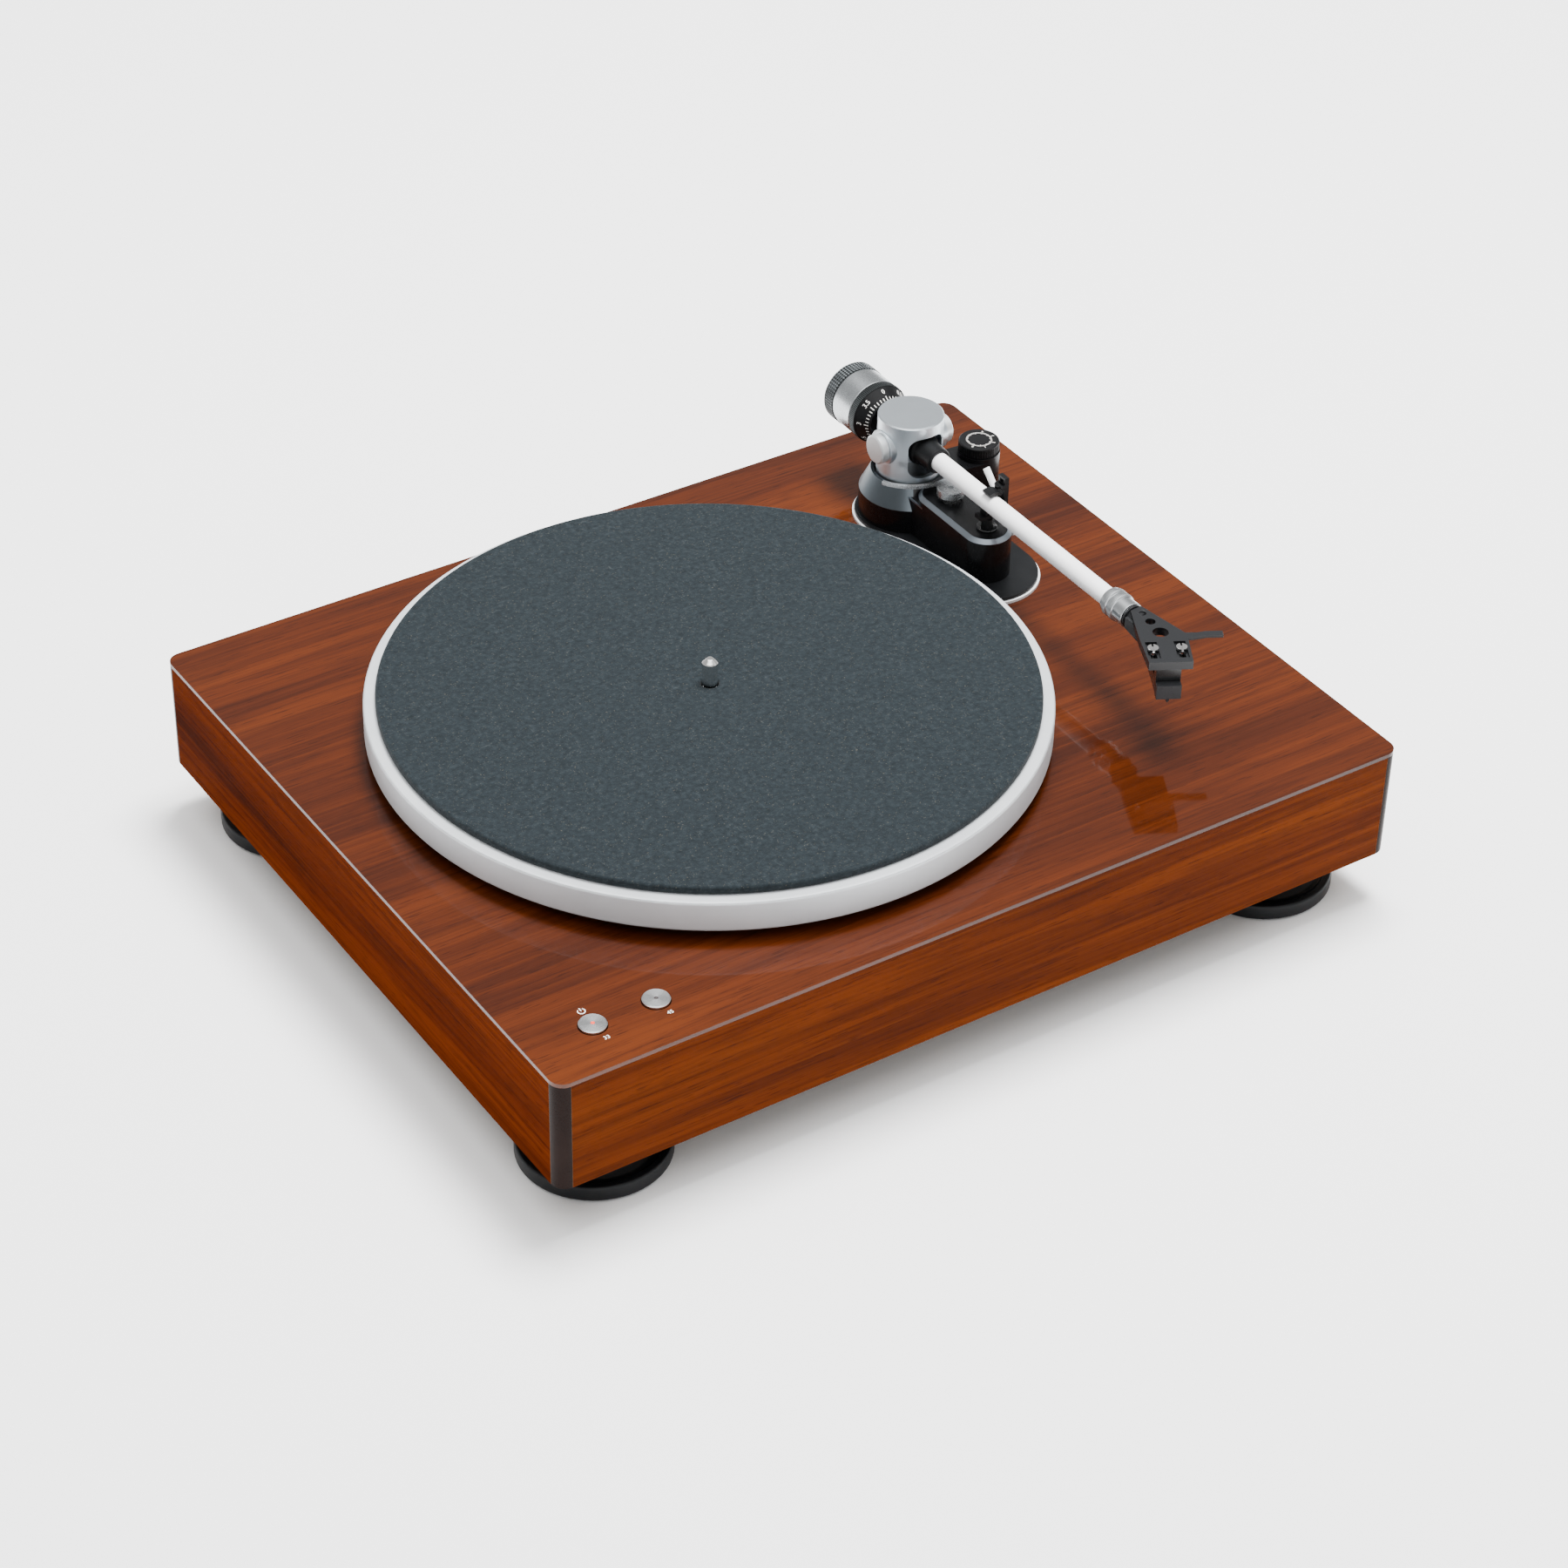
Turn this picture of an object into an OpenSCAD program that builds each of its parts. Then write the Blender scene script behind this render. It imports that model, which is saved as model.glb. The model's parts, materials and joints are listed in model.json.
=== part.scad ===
// Belt-drive record player with a wooden plinth and a straight tonearm with an offset headshell.
// Frame: origin on the floor under the middle of the plinth, +X right, +Y back, +Z up. Millimetres.

/* [Plinth] */
// Width of the plinth, left to right
plinth_w = 432; // [420:1:450]
// Depth of the plinth, front to back
plinth_d = 350; // [345:1:370]
// Height of the plinth without its feet
plinth_h = 55.5; // [54:0.5:60]
// Height of the plinth's underside above the floor
plinth_lift = 25.5; // [24:0.5:30]
// Thickness of the side walls
wall = 16; // [14:1:18]
// Thickness of the board under the top panel
deck = 14; // [12:1:16]
// Thickness of the veneered top panel
top_t = 2; // [1.5:0.5:3]
// Radius of the dark corner posts
corner_r = 6.5; // [4:0.5:8]

/* [Feet] */
// Distance from a foot's axis to both sides of the plinth
foot_inset = 40; // [38:1:46]
// Radius of the foot's lower disc
foot_r = 33.6; // [30:0.2:36]
// Height of the foot's lower disc
foot_disc_h = 8.5; // [7:0.5:10]

/* [Platter] */
// Radius of the platter
platter_r = 152.5; // [150:0.5:154]
// Height of the platter's side
platter_h = 15.2; // [14:0.2:17]
// Gap between the top panel and the platter
platter_gap = 4.1; // [3.5:0.1:5]
// Radius of the felt mat
mat_r = 147; // [145:0.5:149]
// Thickness of the felt mat
mat_t = 3.95; // [2:0.05:4.5]
// Radius of the record spindle
spindle_r = 3.575; // [3.5:0.025:3.6]

/* [Drive] */
// Radius of the belt face under the platter
sub_belt_r = 80; // [78:1:84]
// Radius of the motor pulley's belt face
pulley_r = 8; // [7:0.5:9]
// Distance from the platter's axis to the motor's axis
motor_reach = 112; // [108:1:116]
// Direction of the motor from the platter's axis, in degrees from +X
motor_dir = 135; // [125:1:145]

/* [Buttons] */
// Radius of a speed button
button_r = 6; // [5:0.5:6.5]
// How far a button stands above the top panel
button_rise = 1.4; // [1.2:0.1:2]
// Travel of a button
button_travel = 1.2; // [0.8:0.1:1.2]

/* [Tonearm] */
// Distance from the record spindle to the tonearm's upright axis
mount_distance = 200; // [198:1:202]
// Height of the arm's axis above the top panel
arm_rise = 41.5; // [41:0.5:43]
// Parked direction of the arm in degrees from +X
arm_yaw = -90.4; // [-92:0.1:-89]
// Radius of the arm tube
tube_r = 4.5; // [4:0.1:4.6]
// Length from the upright axis to the front end of the arm tube
tube_end = 176; // [170:1:180]
// Offset angle of the headshell towards the platter
offset_angle = 27.5; // [22:0.5:30]

/* [Counterweight] */
// Radius of the counterweight
weight_r = 15.1; // [14:0.1:15.2]
// Radius of the hollow inside the counterweight that sets its mass
weight_core_r = 10; // [8:0.1:12.5]

/* [Hidden] */
$fn = 96;
eps = 0.01;

// Gaps between pieces
run_gap = 0.05;
loose = 0.3;
fit_gap = 0.1;

// Plinth levels
top_z = plinth_lift + plinth_h;
deck_z = top_z - top_t;
cavity_z = deck_z - deck;
cavity_x = plinth_w / 2 - wall;
cavity_y = plinth_d / 2 - wall;
rebate = 4;
panel_t = 5;
panel_z = plinth_lift + 1;
ledge_z = panel_z + panel_t;
block_side = 40;
block_h = 12;

// Feet
foot_x = plinth_w / 2 - foot_inset;
foot_y = plinth_d / 2 - foot_inset;
foot_bolt_r = 3;
foot_head_r = 6;
foot_neck_r = 24;
pad_r = 27;
pad_t = 2;
pad_proud = 0.6;
bolt_seat_z = foot_disc_h + 3;

// Platter
platter_x = -34;
platter_y = 1.3;
platter_z = top_z + platter_gap;
rim_z = platter_z + platter_h;
mat_z = rim_z + mat_t;
plate_t = 6.5;
plate_z = rim_z - plate_t;
rim_wall = 9.5;
sub_z = plate_z - 4;
sub_r = 84;
belt_h = 3.6;
belt_t = 0.8;
belt_z = platter_z + 0.4;
spindle_tip_z = mat_z + 12.8;
spindle_cone = 2.1;
spindle_neck_r = 2.8;
shaft_r = 5;
shaft_z = 46;
ball_r = 3;
bearing_flange_t = 2.8;
motor_x = platter_x + motor_reach * cos(motor_dir);
motor_y = platter_y + motor_reach * sin(motor_dir);
motor_r = 18;
motor_h = 23;
motor_z = cavity_z - 2.4 - motor_h;
motor_plate_t = 1.8;
rotor_r = 1;

// Buttons: the two button axes
button_y = -149.1;
button_xs = [-184.1, -154.2];
hole_r = button_r + loose;
cap_t = 3;
stem_r = 2.2;
guide_h = 7;
board_z = 48.4;
board_t = 1.6;
switch_h = 6;
stem_z = board_z + board_t + switch_h + button_travel + 0.2;
lens_r = 0.9;

// Rear terminals
recess_x = -105;
recess_w = 92;
recess_z = 51;
recess_h = 24;
plate_y = cavity_y - 2;
rca_xs = [-141, -125];
ground_x = -104;
jack_x = -72;
barrel_r = 4.15;
barrel_l = 9;
post_r = 2;

// Tonearm
pivot_x = 140;
pivot_y = platter_y + sqrt(mount_distance * mount_distance - pow(pivot_x - platter_x, 2));
arm_z = top_z + arm_rise;
housing_r = 15.75;
housing_in = 13.6;
housing_top = 14.2;
housing_bottom = -25.4;
window_half = 9.5;
window_low = -13;
window_high = 8.3;
window_r = 5.5;
boss_r = 8.6;
boss_face = 16.2;
cap_r = 7.1;
cap_face = 20.5;
pin_r = 2;
yaw_r = 4;
bearing_r = 8;
bearing_h = 5;
sleeve_bottom = 52;
sleeve_r = 10;
hub_r = 7;
rear_r = 5;
rear_end = -49;
sleeve_end = 24.8;

// Tonearm base
base_r = 26.3;
base_front = -64;
base_h = 3;
tower_r = 23.5;
tower_wall_h = 15.3;
tower_top_r = 18.2;
tower_h = 25.7;
well_r = 16.6;
well_floor = 15;
pod_r = 11.7;
pod_h = 24.5;
pod_top_r = 10;
pod_top_h = 26.3;
pod_rear = -28.9;
bridge_h = 21.5;
post_x = 38.4;
post_y = -3.4;
post_wing_w = 20.6;
post_top_h = 24.8;
wing_h = 22.5;
wing_low = 6;
dial_r = 9.75;
dial_h = 5.5;

// Cueing lift
lift_y = -34.4;
lift_r = 3.5;
lift_head_r = 6.55;
lift_head_h = 3.5;
lift_top = 32.5;
bar_in = 25.3;
bar_out = 27.1;
bar_h = 1.6;
bar_low = 30;
bar_from = -8;
bar_to = 63;
lever_u = 65.4;
lever_w = -19;
lever_tip_u = 45;
lever_tip_w = 3.5;
lever_tip_v = 12.4;
lever_r = 1.65;
lever_hub_v = 12.5;
lever_hub_t = 2.8;
lever_axle_r = 2;

// Arm rest
rest_u = 64.1;
rest_v = 0.45;
rest_r = 2.75;
rest_low = -9.5;
rest_high = -7.5;
rest_from = 60.5;
rest_to = 66;
rest_left = -4.2;
upright_in = 7;
upright_out = 9.3;
upright_from = 62;
upright_to = 67.5;
upright_top = 11;
clip_in = 5.4;
clip_out = 6.9;
clip_hinge_v = 5.9;
clip_hinge_w = 6.3;
clip_pin_r = 0.6;
knuckle_r = 1.1;
clip_from = 63.5;
clip_to = 69.5;
knuckle_to = 66;

// Headshell frame, in the arm's frame
head_u = 210.3;
head_v = -7;
head_top = 5.3;
head_t = 4;
screw_pitch = 12.7;
screw_p = 0.5;
slot_from = -5.6;
slot_to = 7;
slot_r = 1.4;
head_bottom = head_top - head_t;

// Counterweight group, distances behind the upright axis
weight_front = -30.2;
weight_back = -44;
grip_back = -51.5;
grip_r = 15.4;
weight_bore = 6.55;
hub_boss_r = 9;
hub_boss_end = -26.2;
dial_back = -30;
dial_band = -25.6;
dial_front = -18.5;
dial_front_r = 10.3;
dial_cone_r = 14.7;

// ---- helpers ----

// Places children at the tonearm's tilt axis, with +X along the parked arm
module arm_frame() {
    translate([pivot_x, pivot_y, arm_z]) rotate([0, 0, arm_yaw]) children();
}

// Places children at the tonearm's upright axis on the top panel
module base_frame() {
    translate([pivot_x, pivot_y, top_z]) children();
}

// Places children at the cartridge, with +X along the headshell
module head_frame() {
    arm_frame() translate([head_u, head_v, 0]) rotate([0, 0, -offset_angle]) children();
}

// Solid of revolution about the arm's axis from [radius, distance] points
module turned(points) {
    rotate([0, 90, 0]) rotate_extrude() polygon(points);
}

// Straight bar of radius r along the arm from a to b
module rod(r, a, b) {
    translate([a, 0, 0]) rotate([0, 90, 0]) cylinder(r = r, h = b - a);
}

// Ring between radii r1 and r2
module ring(r1, r2, h) {
    difference() {
        cylinder(r = r2, h = h);
        translate([0, 0, -1]) cylinder(r = r1, h = h + 2);
    }
}

// Box between two corners
module block(a, b) {
    translate(a) cube(b - a);
}

// Plate with round corners, centred on the frame's axis
module round_plate(w, d, h, r) {
    block([-w / 2, -d / 2 + r, 0], [w / 2, d / 2 - r, h]);
    block([-w / 2 + r, -d / 2, 0], [w / 2 - r, d / 2, h]);
    for (x = [-1, 1], y = [-1, 1])
        translate([x * (w / 2 - r), y * (d / 2 - r), 0]) cylinder(r = r, h = h);
}

// Plate with two round ends, from y1 to y2
module stadium(r, y1, y2, h) {
    translate([0, y1, 0]) cylinder(r = r, h = h);
    translate([0, y2, 0]) cylinder(r = r, h = h);
    block([-r, min(y1, y2), 0], [r, max(y1, y2), h]);
}

// Pan-head screw standing on its shank's end, head up
module screw(shank_r, shank_l, head_r, head_h) {
    cylinder(r = shank_r, h = shank_l + eps);
    translate([0, 0, shank_l]) difference() {
        cylinder(r = head_r, h = head_h);
        block([-head_r, -0.4, head_h / 2], [head_r, 0.4, head_h + 1]);
    }
}

module at_feet() {
    for (x = [-1, 1], y = [-1, 1]) translate([x * foot_x, y * foot_y, 0]) children();
}

module at_platter() {
    translate([platter_x, platter_y, 0]) children();
}

module at_motor() {
    translate([motor_x, motor_y, 0]) children();
}

module at_bearing_screws() {
    at_platter() for (a = [30, 150, 270]) rotate([0, 0, a]) translate([18, 0, 0]) children();
}

module at_motor_screws() {
    at_motor() for (a = [0, 120, 240]) rotate([0, 0, a]) translate([22.5, 0, 0]) children();
}

// ---- plinth ----

module deck_holes(z, h) {
    at_platter() translate([0, 0, z]) cylinder(r = 9.4, h = h);
    at_motor() translate([0, 0, z]) cylinder(r = 11, h = h);
    for (x = button_xs) translate([x, button_y, z]) cylinder(r = hole_r, h = h);
    translate([pivot_x, pivot_y, z]) cylinder(r = sleeve_r + fit_gap, h = h);
}

module plinth_frame() {
    color("saddlebrown") difference() {
        union() {
            difference() {
                block([-plinth_w / 2, -plinth_d / 2, plinth_lift], [plinth_w / 2, plinth_d / 2, deck_z]);
                block([-cavity_x, -cavity_y, plinth_lift - 1], [cavity_x, cavity_y, cavity_z]);
            }
            for (x = [-1, 1], y = [-1, 1])
                translate([x * (cavity_x - block_side / 2), y * (cavity_y - block_side / 2), ledge_z + block_h / 2])
                    cube([block_side + 1, block_side + 1, block_h], center = true);
        }
        block([-cavity_x - rebate, -cavity_y - rebate, plinth_lift - 1],
              [cavity_x + rebate, cavity_y + rebate, ledge_z]);
        for (x = [-1, 1], y = [-1, 1])
            translate([x * plinth_w / 2, y * plinth_d / 2, top_z / 2])
                cube([2 * corner_r, 2 * corner_r, 2 * top_z], center = true);
        deck_holes(cavity_z - 1, deck + 2);
        at_feet() translate([0, 0, ledge_z - 1]) cylinder(r = foot_bolt_r + fit_gap, h = block_h + 2);
        block([recess_x - recess_w / 2, cavity_y - 1, recess_z - recess_h / 2],
              [recess_x + recess_w / 2, plinth_d / 2 + 1, recess_z + recess_h / 2]);
    }
}

module top_panel() {
    color("sienna") difference() {
        translate([0, 0, deck_z]) round_plate(plinth_w, plinth_d, top_t, corner_r);
        deck_holes(deck_z - 1, top_t + 2);
    }
}

module corner_posts() {
    color("#1a0e0c") for (x = [-1, 1], y = [-1, 1])
        intersection() {
            translate([x * (plinth_w / 2 - corner_r), y * (plinth_d / 2 - corner_r), plinth_lift])
                cylinder(r = corner_r, h = deck_z - plinth_lift);
            translate([x * plinth_w / 2, y * plinth_d / 2, top_z / 2])
                cube([2 * corner_r, 2 * corner_r, 2 * top_z], center = true);
        }
}

// Corner and middle positions of the screws along the bottom panel's edge
module at_panel_screws() {
    for (x = [-1, 0, 1], y = [-1, 1])
        translate([x * (cavity_x - 45), y * (cavity_y + 1.2), panel_z]) children();
}

module bottom_panel() {
    color("#202020") difference() {
        block([-cavity_x - rebate + loose, -cavity_y - rebate + loose, panel_z],
              [cavity_x + rebate - loose, cavity_y + rebate - loose, ledge_z]);
        at_feet() translate([0, 0, panel_z - 1]) cylinder(r = foot_bolt_r + fit_gap, h = panel_t + 2);
        for (y = [-2 : 2])
            block([-30, y * 12 + 100, panel_z - 1], [30, y * 12 + 104, ledge_z + 1]);
    }
}

module panel_screws() {
    color("silver") at_panel_screws() translate([0, 0, -1]) ring(0.6, 2.4, 1);
}

module feet() {
    color("#15161a") at_feet() rotate_extrude() polygon([
        [foot_head_r + 1, pad_t], [pad_r + 0.4, pad_t], [pad_r + 0.4, pad_proud],
        [foot_r - 1.2, pad_proud], [foot_r, pad_proud + 1.2], [foot_r, foot_disc_h - 1.2],
        [foot_r - 0.6, foot_disc_h], [foot_r - 3.4, foot_disc_h], [foot_r - 4.2, foot_disc_h - 1.2],
        [foot_r - 6.5, foot_disc_h - 1.2], [foot_neck_r, foot_disc_h + 1.5], [foot_neck_r, panel_z],
        [foot_bolt_r + fit_gap, panel_z], [foot_bolt_r + fit_gap, bolt_seat_z], [foot_head_r + 1, bolt_seat_z]]);
}

module foot_pads() {
    color("#2b2b2b") at_feet() cylinder(r = pad_r, h = pad_t);
}

module foot_bolts() {
    color("gray") at_feet() {
        translate([0, 0, bolt_seat_z - 5]) cylinder(r = foot_head_r, h = 5 + eps);
        translate([0, 0, bolt_seat_z]) cylinder(r = foot_bolt_r, h = ledge_z + block_h - 2 - bolt_seat_z);
    }
}

// ---- platter bearing and drive ----

module bearing_housing() {
    color("#b0b0b4") at_platter() difference() {
        union() {
            translate([0, 0, shaft_z - 10]) cylinder(r = 9, h = top_z - shaft_z + 10 + eps);
            translate([0, 0, top_z]) cylinder(r = 24, h = bearing_flange_t);
        }
        translate([0, 0, shaft_z - 2 * ball_r]) cylinder(r = 7, h = 60);
        for (a = [30, 150, 270]) rotate([0, 0, a]) translate([18, 0, top_z - 1]) cylinder(r = 1.7, h = 6);
    }
}

module bearing_bush() {
    color("#b8803a") at_platter() translate([0, 0, shaft_z + 2])
        ring(shaft_r + run_gap, 7, top_z + bearing_flange_t - shaft_z - 2);
}

module thrust_ball() {
    color("silver") at_platter() translate([0, 0, shaft_z - ball_r]) sphere(r = ball_r);
}

module spindle() {
    color("gainsboro") at_platter() {
        translate([0, 0, shaft_z]) cylinder(r = shaft_r, h = plate_z - shaft_z);
        translate([0, 0, plate_z - eps]) cylinder(r = spindle_neck_r, h = mat_z - plate_z + 2 * eps);
        translate([0, 0, mat_z]) cylinder(r = spindle_r, h = spindle_tip_z - spindle_cone - mat_z);
        translate([0, 0, spindle_tip_z - spindle_cone])
            cylinder(r1 = spindle_r, r2 = 1.4, h = spindle_cone);
    }
}

module sub_platter() {
    color("#d8d8d0") at_platter() rotate_extrude() polygon([
        [shaft_r, platter_z + 0.9], [14, platter_z + 0.9], [14, sub_z], [sub_belt_r - 4, sub_z],
        [sub_belt_r - 4, platter_z], [sub_belt_r, platter_z], [sub_belt_r, sub_z],
        [sub_r, sub_z], [sub_r, plate_z], [shaft_r, plate_z]]);
}

module platter() {
    color("#d0d2d4") at_platter() rotate_extrude($fn = 180) polygon([
        [spindle_neck_r, plate_z], [platter_r - rim_wall, plate_z], [platter_r - rim_wall, platter_z],
        [platter_r - 1, platter_z], [platter_r, platter_z + 1], [platter_r, rim_z - 0.8],
        [platter_r - 0.8, rim_z], [spindle_neck_r, rim_z]]);
}

module felt_mat() {
    color("#353d45") at_platter() translate([0, 0, rim_z]) ring(spindle_r + 0.4, mat_r, mat_t);
}

module motor() {
    color("#8c8f94") at_motor() {
        difference() {
            union() {
                translate([0, 0, motor_z]) cylinder(r = motor_r, h = motor_h + eps);
                translate([0, 0, motor_z + motor_h]) cylinder(r = 26, h = motor_plate_t);
            }
            translate([0, 0, motor_z + 12]) cylinder(r = rotor_r + run_gap, h = motor_h);
            for (a = [0, 120, 240]) rotate([0, 0, a]) translate([22.5, 0, motor_z + motor_h - 1])
                cylinder(r = 1.7, h = motor_plate_t + 2);
        }
    }
}

module deck_screws() {
    color("silver") {
        at_bearing_screws() translate([0, 0, top_z + 0.3]) screw(1.5, bearing_flange_t - 0.3, 2.8, 1.2);
        at_motor_screws() translate([0, 0, motor_z + motor_h + motor_plate_t]) rotate([180, 0, 0])
            screw(1.5, motor_plate_t, 2.8, 1.2);
    }
}

module motor_shaft() {
    color("silver") at_motor() translate([0, 0, motor_z + 14]) cylinder(r = rotor_r, h = plate_z - 2 - motor_z - 14);
}

module motor_pulley() {
    color("#c9a75a") at_motor() rotate_extrude() polygon([
        [rotor_r, top_z - 4], [5, top_z - 4], [5, belt_z - 0.9], [pulley_r + 1, belt_z - 0.9],
        [pulley_r + 1, belt_z - 0.3], [pulley_r, belt_z - 0.2], [pulley_r, belt_z + belt_h + 0.2],
        [pulley_r + 1, belt_z + belt_h + 0.3], [pulley_r + 1, belt_z + belt_h + 0.9],
        [rotor_r, belt_z + belt_h + 0.9]]);
}

// Outline round both belt faces, standing off them by d
module belt_outline(d) {
    hull() {
        translate([platter_x, platter_y]) circle(r = sub_belt_r + d, $fn = 240);
        translate([motor_x, motor_y]) circle(r = pulley_r + d, $fn = 96);
    }
}

module drive_belt() {
    color("#191919") translate([0, 0, belt_z]) linear_extrude(belt_h) difference() {
        belt_outline(fit_gap + belt_t);
        belt_outline(fit_gap);
    }
}

// ---- buttons and electronics ----

module control_board() {
    color("#1d5a35") {
        block([-198, -157, board_z], [-140, -131, board_z + board_t]);
        for (x = button_xs) translate([x, button_y, board_z + board_t - eps]) {
            translate([-3.1, -3.1, 0]) cube([6.2, 6.2, 3.6]);
            cylinder(r = 1.6, h = switch_h);
        }
    }
}

module button_guide() {
    guide_z = cavity_z - guide_h;
    color("#3a3a3c") difference() {
        union() {
            block([-198, -157, guide_z], [-140, -131, cavity_z]);
            for (x = [-196, -142], y = [-155, -133])
                translate([x, y, board_z + board_t]) cylinder(r = 2, h = guide_z - board_z - board_t + eps);
        }
        for (x = button_xs) translate([x, button_y, guide_z - 1]) cylinder(r = stem_r + run_gap, h = guide_h + 2);
    }
}

module button(x) {
    top = top_z + button_rise;
    color("gainsboro") translate([x, button_y, 0]) difference() {
        union() {
            translate([0, 0, top - cap_t]) cylinder(r = button_r, h = cap_t - 0.4);
            translate([0, 0, top - 0.4 - eps]) cylinder(r1 = button_r, r2 = button_r - 0.4, h = 0.4 + eps);
            translate([0, 0, stem_z]) cylinder(r = stem_r, h = top - cap_t - stem_z + eps);
        }
        translate([0, 0, top - 2]) cylinder(r = lens_r, h = 3);
    }
}

module led_lens(x, tint) {
    color(tint) translate([x, button_y, top_z + button_rise - 2]) cylinder(r = lens_r, h = 1.9);
}

// Return spring under a button cap, as one ribbed sleeve
module button_spring(x) {
    low = cavity_z;
    high = top_z + button_rise - cap_t;
    turns = 6;
    step = (high - low) / turns;
    color("silver") translate([x, button_y, 0]) rotate_extrude() polygon([
        for (i = [0 : turns]) [3.4 + 0.8 * (i % 2), low + i * step],
        for (i = [turns : -1 : 0]) [3.9 + 0.8 * (i % 2), low + i * step]]);
}

module button_33() { button(button_xs[0]); }
module button_45() { button(button_xs[1]); }
module led_lens_33() { led_lens(button_xs[0], "red"); }
module led_lens_45() { led_lens(button_xs[1], "#302020"); }
module button_spring_33() { button_spring(button_xs[0]); }
module button_spring_45() { button_spring(button_xs[1]); }

// ---- rear terminals ----

// Places children on the terminal plate's outer face, with +Z pointing out of the back
module at_terminal(x, dz = 0) {
    translate([x, cavity_y, recess_z + dz]) rotate([-90, 0, 0]) children();
}

module terminal_plate() {
    color("#1c1c1e") {
        difference() {
            block([recess_x - recess_w / 2 - 8, plate_y, recess_z - recess_h / 2 - 5],
                  [recess_x + recess_w / 2 + 8, cavity_y, recess_z + recess_h / 2 + 1]);
            for (x = rca_xs) at_terminal(x) translate([0, 0, -3]) cylinder(r = 3, h = 4);
            at_terminal(jack_x) translate([0, 0, -3]) cylinder(r = 4.6, h = 4);
        }
        at_terminal(ground_x) translate([0, 0, -eps]) cylinder(r = post_r, h = 13);
        at_terminal(ground_x) translate([0, 0, -eps]) cylinder(r = 4, h = 1.5);
    }
}

module rca_sockets() {
    color("#c8a24a") for (x = rca_xs) at_terminal(x) {
        difference() {
            union() {
                translate([0, 0, -8]) cylinder(r = 2.9, h = 8 + eps);
                cylinder(r = 5.6, h = 1.6);
                translate([0, 0, 1.6 - eps]) cylinder(r = barrel_r, h = barrel_l + eps);
            }
            translate([0, 0, 2]) cylinder(r = 1.7, h = 12);
        }
    }
}

module ground_washer() {
    color("silver") at_terminal(ground_x) translate([0, 0, 4.6]) ring(post_r + run_gap, 4.2, 0.8);
}

module ground_nut() {
    knurls = 18;
    color("gainsboro") at_terminal(ground_x) translate([0, 0, 5.5]) difference() {
        cylinder(r = 5, h = 5.5);
        translate([0, 0, -1]) cylinder(r = post_r + run_gap, h = 8);
        for (i = [0 : knurls - 1]) rotate([0, 0, i * 360 / knurls]) translate([5.2, 0, -1]) cylinder(r = 0.45, h = 8);
    }
}

module power_jack() {
    color("#101010") at_terminal(jack_x) {
        difference() {
            union() {
                translate([0, 0, -9]) cylinder(r = 4.5, h = 9 + eps);
                cylinder(r = 6, h = 2);
            }
            translate([0, 0, -7.5]) cylinder(r = 2.8, h = 12);
        }
        translate([0, 0, -8]) cylinder(r = 1, h = 8.5);
    }
}

// ---- tonearm base ----

module base_hole() {
    base_frame() translate([0, 0, -1]) cylinder(r = sleeve_r + fit_gap, h = 8);
}

module base_trim() {
    color("silver") difference() {
        base_frame() stadium(base_r, base_front, 0, 1.4);
        base_hole();
    }
}

module base_plate() {
    color("#222224") difference() {
        base_frame() translate([0, 0, 1.4]) stadium(base_r - 1, base_front, 0, base_h - 1.4);
        base_hole();
    }
}

// Pod with two round ends and a bevelled top
module pod() {
    translate([0, 0, base_h]) stadium(pod_r, -rest_u, pod_rear, pod_h - base_h);
    for (y = [-rest_u, pod_rear])
        translate([0, y, pod_h - eps]) cylinder(r1 = pod_r, r2 = pod_top_r, h = pod_top_h - pod_h + eps);
    translate([0, -rest_u, 0]) rotate([-90, 0, 0]) linear_extrude(rest_u + pod_rear)
        polygon([[-pod_r, -pod_h + eps], [pod_r, -pod_h + eps], [pod_top_r, -pod_top_h], [-pod_top_r, -pod_top_h]]);
}

module arm_base() {
    color("#26282c") base_frame() difference() {
        union() {
            translate([0, 0, base_h]) cylinder(r = tower_r, h = tower_wall_h - base_h + eps);
            translate([0, 0, tower_wall_h])
                cylinder(r1 = tower_r, r2 = tower_top_r, h = tower_h - tower_wall_h);
            translate([0, 0, sleeve_bottom - top_z]) cylinder(r = sleeve_r, h = top_z - sleeve_bottom + base_h + 1);
            pod();
            block([-pod_r, -32, base_h], [pod_r, -12, bridge_h]);
            rotate([0, 0, atan2(post_y, post_x)])
                block([0, -post_wing_w / 2, wing_low], [post_x, post_wing_w / 2, wing_h]);
            translate([post_x, post_y, wing_low]) cylinder(r = post_wing_w / 2, h = post_top_h - wing_low);
        }
        translate([0, 0, well_floor]) cylinder(r = well_r, h = 20);
        translate([0, 0, sleeve_bottom - top_z - 1]) cylinder(r = yaw_r + 0.5, h = 60);
        translate([0, 0, sleeve_bottom - top_z - 1]) cylinder(r = bearing_r, h = bearing_h + 1);
        translate([0, 0, well_floor - bearing_h]) cylinder(r = bearing_r, h = bearing_h + 1);
        translate([post_x, post_y, post_top_h - 12]) cylinder(r = 3 + run_gap, h = 14);
        translate([0, lift_y, base_h + 3]) cylinder(r = lift_r + run_gap, h = 30);
        translate([0, lift_y, pod_top_h - 1.2]) cylinder(r = 5.6, h = 3);
        translate([0, -rest_u, pod_top_h - 14]) cylinder(r = rest_r, h = 16);
        rotate([0, 0, arm_yaw]) translate([lever_u, 3, arm_rise + lever_w]) rotate([-90, 0, 0])
            cylinder(r = lever_axle_r + run_gap, h = 12);
    }
}

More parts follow.
